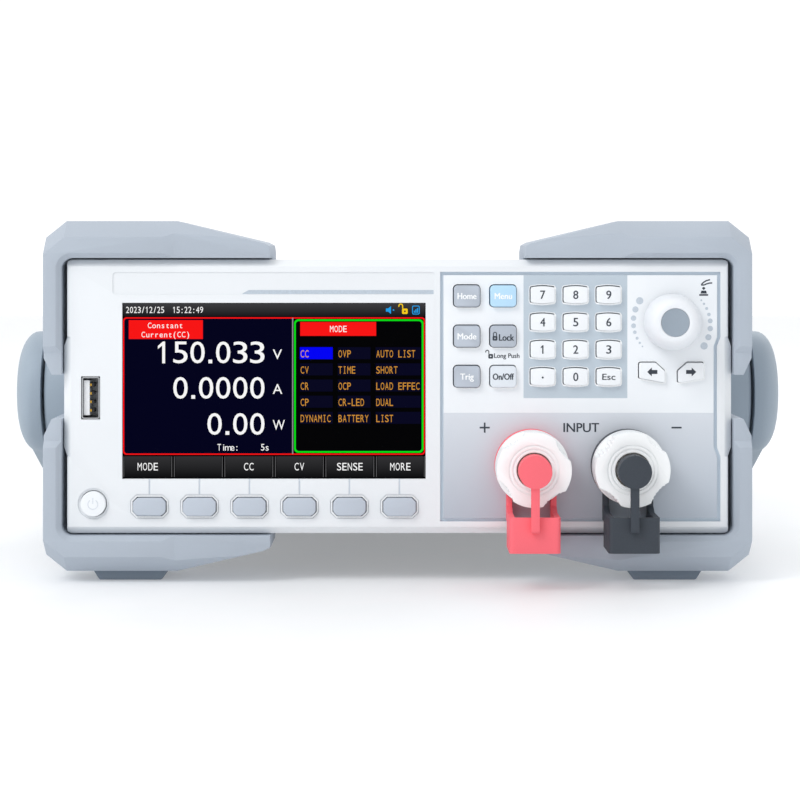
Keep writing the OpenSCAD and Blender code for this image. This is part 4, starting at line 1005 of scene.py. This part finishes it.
def key_outline(node, face=overlay_face):
    """The outline of the part of a key that stands out of a face, in mm, anticlockwise."""
    proud = [v.co for v in nodes[node].data.vertices if v.co.y < face]
    places = sorted({(round((p.x - panel_mid.x) / MM, 2), round((p.z - panel_mid.z) / MM, 2)) for p in proud})
    outline = [places[i] for i in geometry.convex_hull_2d([Vector(p) for p in places])]
    area = sum(a[0] * b[1] - b[0] * a[1] for a, b in zip(outline, outline[1:] + outline[:1]))
    return outline if area > 0 else outline[::-1]


def grown(outline, shaded_by, lit_by):
    """A convex outline moved outwards by some mm, more or less on its upper left side than on the other."""
    moved = []
    for before, here, after in zip(outline[-1:] + outline[:-1], outline, outline[1:] + outline[:1]):
        sides = [(Vector(b) - Vector(a)).normalized() for a, b in ((before, here), (here, after))]
        first, second = (Vector((d.y, -d.x)) for d in sides)
        out = (first + second) / (1 + first.dot(second))
        share = min(1.0, max(0.0, 0.5 + SHADE_SLOPE * SHADE_SIDE.dot(out.normalized())))
        by = lit_by + (shaded_by - lit_by) * share
        moved.append((here[0] + out.x * by, here[1] + out.y * by))
    return moved


# Each band: the sheet's white edge with painted highlight, and a lip of painted light over the gap's shade.
rims = []
for name in key_finish:
    if name not in soft_keys and name != "power_button":
        outline = key_outline(name)
        lip = LIP_GREY if key_finish[name] in (grey_key, blue_key) else LIP_WHITE
        rims.append(band(grown(outline, RIM_END, RIM_END), grown(outline, GAP_EDGE, lip)))
printed("key_rims_painted_light", [(white_ink, rims)], "case", overlay_out)
print(len(rims), "rims,", len(key_outline("key_5")), "points on a digit key")

# %% [markdown]
# Collars round the soft keys.
# Each soft key sits in a shallow dish, and a white collar stands in it, so that a thin line of shade shows
# on either side of the collar. A printed ring would have no shade, so the collars are as tall as the dish
# is deep.

# %% Collars round the soft keys
DISH_DEPTH = 0.5
COLLAR_START, COLLAR_END, COLLAR_TALL = 0.27, 0.72, 0.5
collars = []
for name in soft_keys:
    outline = key_outline(name, face_y)
    wide, narrow = (grown(outline, by, by) for by in (COLLAR_END, COLLAR_START))
    collars.append(band(wide, narrow, COLLAR_TALL))
# The collars take the white ink, whiter than the panel's plastic: painted light against the keys' shade.
printed("softkey_collars", [(white_ink, collars)], "case", -DISH_DEPTH)
print(len(collars), "collars")

# %% [markdown]
# Dots round the knob.
# Two rows of dots shrink in the direction of turning. They follow an arc round the knob, so a loop places
# them, and the second row is the first one turned half round and moved a little, as on the real print.

# %% Dots round the knob
DOT_ARC = 12.0
DOT_ANGLES = [146.3, 161.0, 174.5, 186.1, 196.0, 205.7, 213.9, 220.6]
DOT_SIZES = [1.15, 0.97, 0.86, 0.77, 0.57, 0.48, 0.38, 0.28]
ROWS = [(0, 0.0, 0.0), (180, 0.43, -1.0)]
knob_x, knob_z = middle_of("knob")[:2]
dots = []
for angle, size in zip(DOT_ANGLES, DOT_SIZES):
    for turn, right, up in ROWS:
        a = math.radians(angle + turn)
        x, y = knob_x + right + DOT_ARC * math.cos(a), knob_z + up + DOT_ARC * math.sin(a)
        dots.append(slab(round_outline(x, y, size)))
print(len(dots), "dots round the knob")

# %% [markdown]
# The press sign.
# A finger over an arrow and a button says that the knob can be pressed. The sign is only 4 mm wide, so a
# few points make each shape. The line of the finger's front lies over the other one, and is a trace
# thicker, so that no two faces share a plane.

# %% Press sign
PRESS_X, PRESS_Z = 97.0, 34.1
PRESS_BASE = [(-1.4, -2.1), (1.4, -2.1), (1.4, -1.6), (-1.4, -1.6)]
PRESS_BUTTON = [(-1.0, -1.4), (1.0, -1.4), (0.75, -0.5), (-0.75, -0.5)]
PRESS_ARROW = [(0, -0.3), (0.55, 0.25), (0.2, 0.65), (-0.2, 0.65), (-0.55, 0.25)]
FINGER_BACK = [(-0.8, 1.4), (-0.1, 2.1), (0.8, 2.65), (2.0, 3.0)]
FINGER_FRONT = [(-0.8, 1.3), (0.1, 1.3), (0.9, 1.65), (1.8, 1.9), (2.7, 1.95)]
FINGER_LINE = 0.4
OVERPRINT = 1.2 * INK


def by_knob(path):
    return [(PRESS_X + x, PRESS_Z + y) for x, y in path]


press_sign = [slab(by_knob(path)) for path in (PRESS_BASE, PRESS_BUTTON, PRESS_ARROW)]
press_sign.append(stroke(by_knob(FINGER_BACK), FINGER_LINE))
press_sign.append(stroke(by_knob(FINGER_FRONT), FINGER_LINE, OVERPRINT))
print("a press sign of", len(press_sign), "shapes")

# %% [markdown]
# Signs at the posts and below the lock key.
# The posts are marked with plus, minus and INPUT, and a hint with an open padlock stands below the lock
# key. All of this is one pass of the press on the control field, so it becomes one piece, with the dots and
# the press sign.

# %% Signs at the posts and below the lock key
SIGN_Z = -9.8
SIGN_HALF, SIGN_LINE = 1.6, 0.26
PLUS_X, MINUS_X, INPUT_X = 27.6, 88.4, 58.2
INPUT_TALL = 2.8
HINT_DOWN = 6.85


def bar_at(x, half_wide, half_tall, high=INK):
    return slab(box_outline(x - half_wide, SIGN_Z - half_tall, x + half_wide, SIGN_Z + half_tall), 0, high)


post_marks = [bar_at(PLUS_X, SIGN_HALF, SIGN_LINE), bar_at(PLUS_X, SIGN_LINE, SIGN_HALF, OVERPRINT),
              bar_at(MINUS_X, SIGN_HALF, SIGN_LINE),
              words("INPUT", INPUT_X, SIGN_Z - INPUT_TALL / 2, INPUT_TALL, width=11.2, bold=0.14)]
lock_x, lock_z = middle_of("key_lock")[:2]
hint_z = lock_z - HINT_DOWN
hint = [words("Long Push", lock_x + 1.15, hint_z, height=1.4, width=8.0, bold=0.09)]
hint += padlock(lock_x - 3.95, hint_z + 0.5, size=1.5, is_open=True)
signs = press_sign + post_marks + hint
printed("panel_print", [(grey_ink, dots), (dark_ink, signs)], "case", overlay_out)
print(len(post_marks), "signs at the posts")

# %% [markdown]
# The bar above the screen.
# A thin grey bar with one slanted end underlines the recessed strip above the screen. A groove in the bezel
# could show it too, but a thin printed shape on the floor of the recess is simpler, and keeps the slanted
# end crisp.

# %% Bar above the screen
STRIP_BAR = [(-49.4, 32.55), (11.4, 32.55), (11.4, 33.8), (-47.2, 33.8)]
STRIP_RECESS = 0.3
printed("name_strip_bar", [(strip_ink, [slab(STRIP_BAR)])], "case", -STRIP_RECESS)
print("bar", round(STRIP_BAR[1][0] - STRIP_BAR[0][0], 1), "mm long")

# %% [markdown]
# The lit screen.
# A colour display shines by itself, so its picture is made of finishes that emit light. Real pixels are 0.2
# mm apart, and a fine grid of sines dims the light between them. Its surface is matt against glare: a
# mirror gloss would lay the white tent over the dark picture.

# %% The lit screen
PIXEL = 0.2
GRID_SHADE = 0.88
SCREEN_COLOURS = {
    "white": "#ffffff", "navy": "#00001c", "black": "#000001", "red": "#fe1414", "green": "#07e317",
    "blue": "#0000fa", "cell": "#050520", "orange": "#d8963a", "sky": "#21a5f2", "yellow": "#ffd21c",
    "line": "#8d8d92", "tab_edge": "#5a5a5c",
}


def lit(name, colour):
    """Light from behind a fine grid of pixels."""
    made, tree, surface, where = empty_finish(name)
    split = shader(tree, "SeparateXYZ", {0: where})
    waves = []
    for axis in ("X", "Z"):
        turns = math_node(tree, "MULTIPLY", split.outputs[axis], 2 * math.pi / (PIXEL * MM))
        waves.append(math_node(tree, "SINE", turns, 0.0))
    grid = math_node(tree, "MULTIPLY", waves[0], waves[1])
    share = shader(tree, "MapRange", {"Value": grid, "From Min": -1.0}).outputs["Result"]
    light = hexed(colour)
    tree.links.new(mixed(tree, share, shaded(light, GRID_SHADE), light), surface.inputs["Emission Color"])
    surface.inputs["Emission Strength"].default_value = 1.0
    surface.inputs["Base Color"].default_value = (0.0005, 0.0005, 0.0006, 1)
    surface.inputs["Roughness"].default_value = 0.4
    surface.inputs["Specular IOR Level"].default_value = 0.012
    return made


shining = {name: lit("screen_" + name, colour) for name, colour in SCREEN_COLOURS.items()}
print("a picture of", len(shining), "lit colours")

# %% [markdown]
# Places on the screen.
# The picture is drawn in millimetres from the screen's lower left corner, as a screen designer would do,
# and moved to the panel. The shapes lie in layers a few hundredths apart: if two faces shared a plane, the
# renderer couldn't tell which one is in front, and they would flicker.

# %% Places on the screen
SCREEN_LEFT, SCREEN_LOW = -87.3, -26.05
SCREEN_W, SCREEN_H = 96.2, 55.8
GROUND, FIELD, FRAME, TOP = range(4)
screen_out = panel_box("lcd_module")[4]


def on_screen(shape, layer):
    """Moves a shape from screen places to panel places, and up to its layer."""
    points, faces = shape
    return [(x + SCREEN_LEFT, y + SCREEN_LOW, h + layer * INK) for x, y, h in points], faces


def screen_box(left, low, right, high, layer=FIELD):
    return on_screen(slab(box_outline(left, low, right, high)), layer)


def screen_frame(left, low, right, high, r, width, layer=FRAME):
    outer = box_outline(left, low, right, high, r)
    inner = box_outline(left + width, low + width, right - width, high - width, r - width / 2)
    return on_screen(band(outer, inner), layer)


print("screen", SCREEN_W, "by", SCREEN_H, "mm,", round(-screen_out, 2), "mm behind the face")

# %% [markdown]
# Fields of the picture.
# A black ground carries a bar for the time at the top, a navy field for the readings and six tabs over the
# soft keys. The bar and the tabs darken downwards. A stack of thin strips could show that, but a finish
# that looks at its own height does it in one box.

# %% Fields of the picture
TAB_TOP, BAR_LOW, SPLIT = 7.45, 51.2, 54.0
TABS = ["MODE", "", "CC", "CV", "SENSE", "MORE"]
TAB_GAP, TAB_LINE = 0.75, 0.42
TAB_FOOT, TAB_HEAD = 0.3, TAB_TOP - 0.35
LINE_FOOT, LINE_HEAD, LINE_HALF = 0.5, TAB_TOP - 0.4, 0.12
BAR_EDGE, FIELD_INSET = 0.2, 0.4
tab_w = SCREEN_W / len(TABS)
tab_starts = [i * tab_w for i in range(len(TABS))]


def lit_fall(name, top, low_colour, low, high):
    """A lit field that darkens from its top to its foot."""
    made = lit(name, top)
    tree = made.node_tree
    light = tree.nodes["Principled BSDF"].inputs["Emission Color"]
    share = rise(tree, shader(tree, "TexCoord", {}).outputs["Object"], low, high)
    tree.links.new(mixed(tree, share, hexed(low_colour), light.links[0].from_socket), light)
    return made


status_fall = lit_fall("screen_status", "#3f3f42", "#0e0e10", SCREEN_LOW + BAR_LOW, SCREEN_LOW + SCREEN_H)
tab_fall = lit_fall("screen_tab", "#343436", "#050507", SCREEN_LOW, SCREEN_LOW + TAB_TOP)
fields = [
    (shining["black"], [screen_box(0, 0, SCREEN_W, SCREEN_H, GROUND)]),
    (status_fall, [screen_box(BAR_EDGE, BAR_LOW + BAR_EDGE, SCREEN_W - BAR_EDGE, SCREEN_H - BAR_EDGE / 2)]),
    (shining["navy"], [screen_box(FIELD_INSET, TAB_TOP + FIELD_INSET, SPLIT, BAR_LOW - FIELD_INSET)]),
    (tab_fall, [screen_box(x + TAB_GAP, TAB_FOOT, x + tab_w - TAB_GAP, TAB_HEAD) for x in tab_starts]),
    (shining["tab_edge"], [screen_box(edge - LINE_HALF, LINE_FOOT, edge + LINE_HALF, LINE_HEAD)
                           for x in tab_starts for edge in (x + TAB_LINE, x + tab_w - TAB_LINE)]),
]
printed("screen_fields", fields, "case", screen_out)
print(len(TABS), "tabs of", round(tab_w, 2), "mm")

# %% [markdown]
# Frames and titles.
# A thin red frame runs round both halves and a green one round the list on the right, with a grey line
# between the halves. Red boxes hold the titles, and a blue one the chosen mode. The frames have round
# corners, so they are bands between two outlines rather than four bars.

# %% Frames and titles
# Left, low, right and high edges
RED_FRAME = (0.15, TAB_TOP + 0.1, SCREEN_W - 0.15, BAR_LOW)
GREEN_FRAME = (SPLIT + 0.45, TAB_TOP + 0.75, SCREEN_W - 0.7, BAR_LOW - 0.65)
MIDDLE_LINE = (SPLIT - 0.2, TAB_TOP + 0.4, SPLIT + 0.2, BAR_LOW - 0.2)
READING_TITLE = (2.0, 44.3, 25.5, 50.3)
LIST_TITLE = (56.4, 45.3, 80.5, 49.7)
CHOSEN = (56.3, 37.9, 66.7, 41.7)
frames = [
    (shining["red"], [screen_frame(*RED_FRAME, r=1.1, width=0.42),
                      screen_box(*READING_TITLE, FRAME), screen_box(*LIST_TITLE, FRAME)]),
    (shining["line"], [screen_box(*MIDDLE_LINE, TOP)]),
    (shining["green"], [screen_frame(*GREEN_FRAME, r=1.3, width=0.55, layer=TOP)]),
    (shining["blue"], [screen_box(*CHOSEN, FRAME)]),
]
printed("screen_frames", frames, "case", screen_out)
print(sum(len(shapes) for finish, shapes in frames), "frames and boxes")

# %% [markdown]
# Readings.
# Volts, amperes and watts stand in large plain figures that end at the same place, each with its unit
# behind it. One line of text for each would be shorter, but its figures would have the font's own widths.
# So the figures are set one by one from the right, and the point is a small box in a narrower cell.

# %% Readings
FIGURE_TALL, FIGURE_CELL, FIGURE_SHARE = 6.9, 5.42, 0.84
POINT_CELL, POINT_LEFT, POINT_RIGHT, POINT_TALL = 2.72, 0.75, 1.95, 1.15
VALUE_END = 45.5
UNIT_X, UNIT_TALL = 47.7, 3.1
units = [("V", 37.9, 2.9), ("A", 26.9, 3.0), ("W", 15.5, 3.8)]
readings = [words(unit, UNIT_X, base, UNIT_TALL, width, align=0) for unit, base, width in units]
for value, base in (("150.033", 36.6), ("0.0000", 25.35), ("0.00", 13.9)):
    x = VALUE_END
    for letter in reversed(value):
        if letter == ".":
            x -= POINT_CELL
            readings.append(slab(box_outline(x + POINT_LEFT, base, x + POINT_RIGHT, base + POINT_TALL)))
        else:
            x -= FIGURE_CELL
            middle = x + FIGURE_CELL / 2
            readings.append(glyph(letter, middle, base, FIGURE_CELL * FIGURE_SHARE, FIGURE_TALL))
print(len(readings), "figures, points and units")

# %% [markdown]
# Labels and tabs.
# The small labels come from the display's own character set, whose letters sit on an even pitch. A text
# object would space them by their widths, so they are typed letter by letter. The words on the tabs are
# centred.

# %% Labels and tabs
PITCH = 1.4
TAB_BASE, TAB_TALL, TAB_PITCH = 2.6, 2.4, 1.7
# Each label has its text, left end, baseline, height and pitch
LABELS = [
    ("2023/12/25  15:22:49", 1.0, 52.55, 2.0, 1.235), ("Time:", 30.0, 8.9, 2.1, PITCH),
    ("5s", 43.8, 8.9, 2.1, PITCH), ("Constant", 7.9, 47.75, 1.75, 1.42),
    ("Current(CC)", 5.9, 44.85, 1.75, 1.42), ("MODE", 65.7, 46.5, 2.0, PITCH),
]
for label in LABELS:
    readings += typed(*label)
for start, text in zip(tab_starts, TABS):
    readings += typed(text, start + (tab_w - len(text) * TAB_PITCH) / 2, TAB_BASE, TAB_TALL, TAB_PITCH)
print(len(readings), "shapes with the labels")

# %% [markdown]
# The list of modes.
# The right half lists fifteen modes in orange, each on a cell that is a little lighter than the ground.
# They lie on an even grid, so two loops place them. The first one is chosen and has its blue box already.

# %% List of modes
MODES = [["CC", "OVP", "AUTO LIST"], ["CV", "TIME", "SHORT"], ["CR", "OCP", "LOAD EFFEC"],
         ["CP", "CR-LED", "DUAL"], ["DYNAMIC", "BATTERY", "LIST"]]
COLUMNS = [56.4, 68.4, 80.4]
ROW_TOP, ROW_PITCH = 38.45, 5.13
ENTRY_TALL = 2.3
CELL_BEFORE, CELL_BELOW, CELL_TALL = 0.1, 0.55, 3.8
CELL_WIDE, LAST_WIDE, CELL_END = 10.3, 14.3, SCREEN_W - 1.6
entries, cells = [], []
for row, names in enumerate(MODES):
    base = ROW_TOP - row * ROW_PITCH
    for column, text in zip(COLUMNS, names):
        entries += typed(text, column, base, ENTRY_TALL, PITCH)
        if (row, column) != (0, COLUMNS[0]):
            right = min(column + (LAST_WIDE if column == COLUMNS[-1] else CELL_WIDE), CELL_END)
            low = base - CELL_BELOW
            cells.append(screen_box(column - CELL_BEFORE, low, right, low + CELL_TALL))
print(len(cells), "cells and", len(entries), "letters in the list")

# %% [markdown]
# Icons and text.
# Three icons stand at the right of the bar: a loudspeaker, an open padlock and a small bar chart. They are
# so small that a few boxes and rounds show them. Together with the letters they make one piece, on the top
# layer.

# %% Icons and text
ICON_Z = 53.5
SPEAKER = [(83.6, -0.5), (84.3, -0.5), (85.2, -1.25), (85.2, 1.25), (84.3, 0.5), (83.6, 0.5)]
CHART_X, CHART_FOOT, CHART_TOP = 92.45, -0.85, -0.2
CHART_STEP, CHART_RISE, CHART_BAR = 0.5, 0.4, 0.35


def on_top(shapes):
    return [on_screen(shape, TOP) for shape in shapes]


speaker = [slab([(x, ICON_Z + y) for x, y in SPEAKER]), slab(round_outline(86.0, ICON_Z, r=0.25))]
chart = [band(box_outline(91.9, ICON_Z - 1.4, 94.3, ICON_Z + 1.4, r=0.5),
              box_outline(92.15, ICON_Z - 1.15, 94.05, ICON_Z + 1.15, r=0.3))]
for i in range(3):
    x, top = CHART_X + CHART_STEP * i, ICON_Z + CHART_TOP + CHART_RISE * i
    chart.append(slab(box_outline(x, ICON_Z + CHART_FOOT, x + CHART_BAR, top)))
lock_icon = padlock(89.6, ICON_Z - 0.4, size=1.8, is_open=True)
text_groups = [
    (shining["white"], on_top(readings)), (shining["orange"], on_top(entries)), (shining["cell"], cells),
    (shining["sky"], on_top(speaker + chart)), (shining["yellow"], on_top(lock_icon)),
]
printed("screen_text", text_groups, "case", screen_out)
print(len(readings) + len(entries), "letters and lines on the screen")

# %% [markdown]
# Contacts in the upright socket.
# Four springs lie on the right side of the socket's white tongue. Each is a dark carrier with a gilded
# strip on its front, and both show in the photograph. A painted pattern would look flat in the deep socket,
# so they are real strips that stand off the tongue.

# %% Socket contacts
TONGUE_FACE = -0.45
CONTACT_PITCH = 2.7
# How far each stands off the tongue, half its height, the radius of its corners, its back and its front
CARRIER = (1.3, 0.6, 0.25, -8.0, -2.4)
GILDING = (0.5, 0.4, 0.0, -3.0, -2.2)
usb_x, usb_z, usb_out = middle_of("usb_socket")
tongue_x = usb_x + TONGUE_FACE


def contact(z, off, half, corner, back, front):
    return slab(box_outline(tongue_x, z - half, tongue_x + off, z + half, corner), back, front)


heights = [usb_z + (i - 1.5) * CONTACT_PITCH for i in range(4)]
carriers = [contact(z, *CARRIER) for z in heights]
contacts = [contact(z, *GILDING) for z in heights]
printed("usb_contacts", [(dark_plastic, carriers), (gold, contacts)], "case", usb_out)
print(len(contacts), "contacts")

# %% [markdown]
# The floor's finish.
# The floor is only the stage: pale, matt, with a faint unevenness so that it doesn't look like paper cut
# from the page, and a weak glow of its own, as an acrylic table has that is lit from below.

# %% Floor finish
FLOOR_GLOW = 0.22
floor_finish = powder_coat("pale_floor", "#dfe1e3")
glow = floor_finish.node_tree.nodes["Principled BSDF"].inputs
glow["Emission Color"].default_value = (1, 1, 1, 1)
glow["Emission Strength"].default_value = FLOOR_GLOW
floor_mesh.materials.append(floor_finish)
print("floor glows at", FLOOR_GLOW)
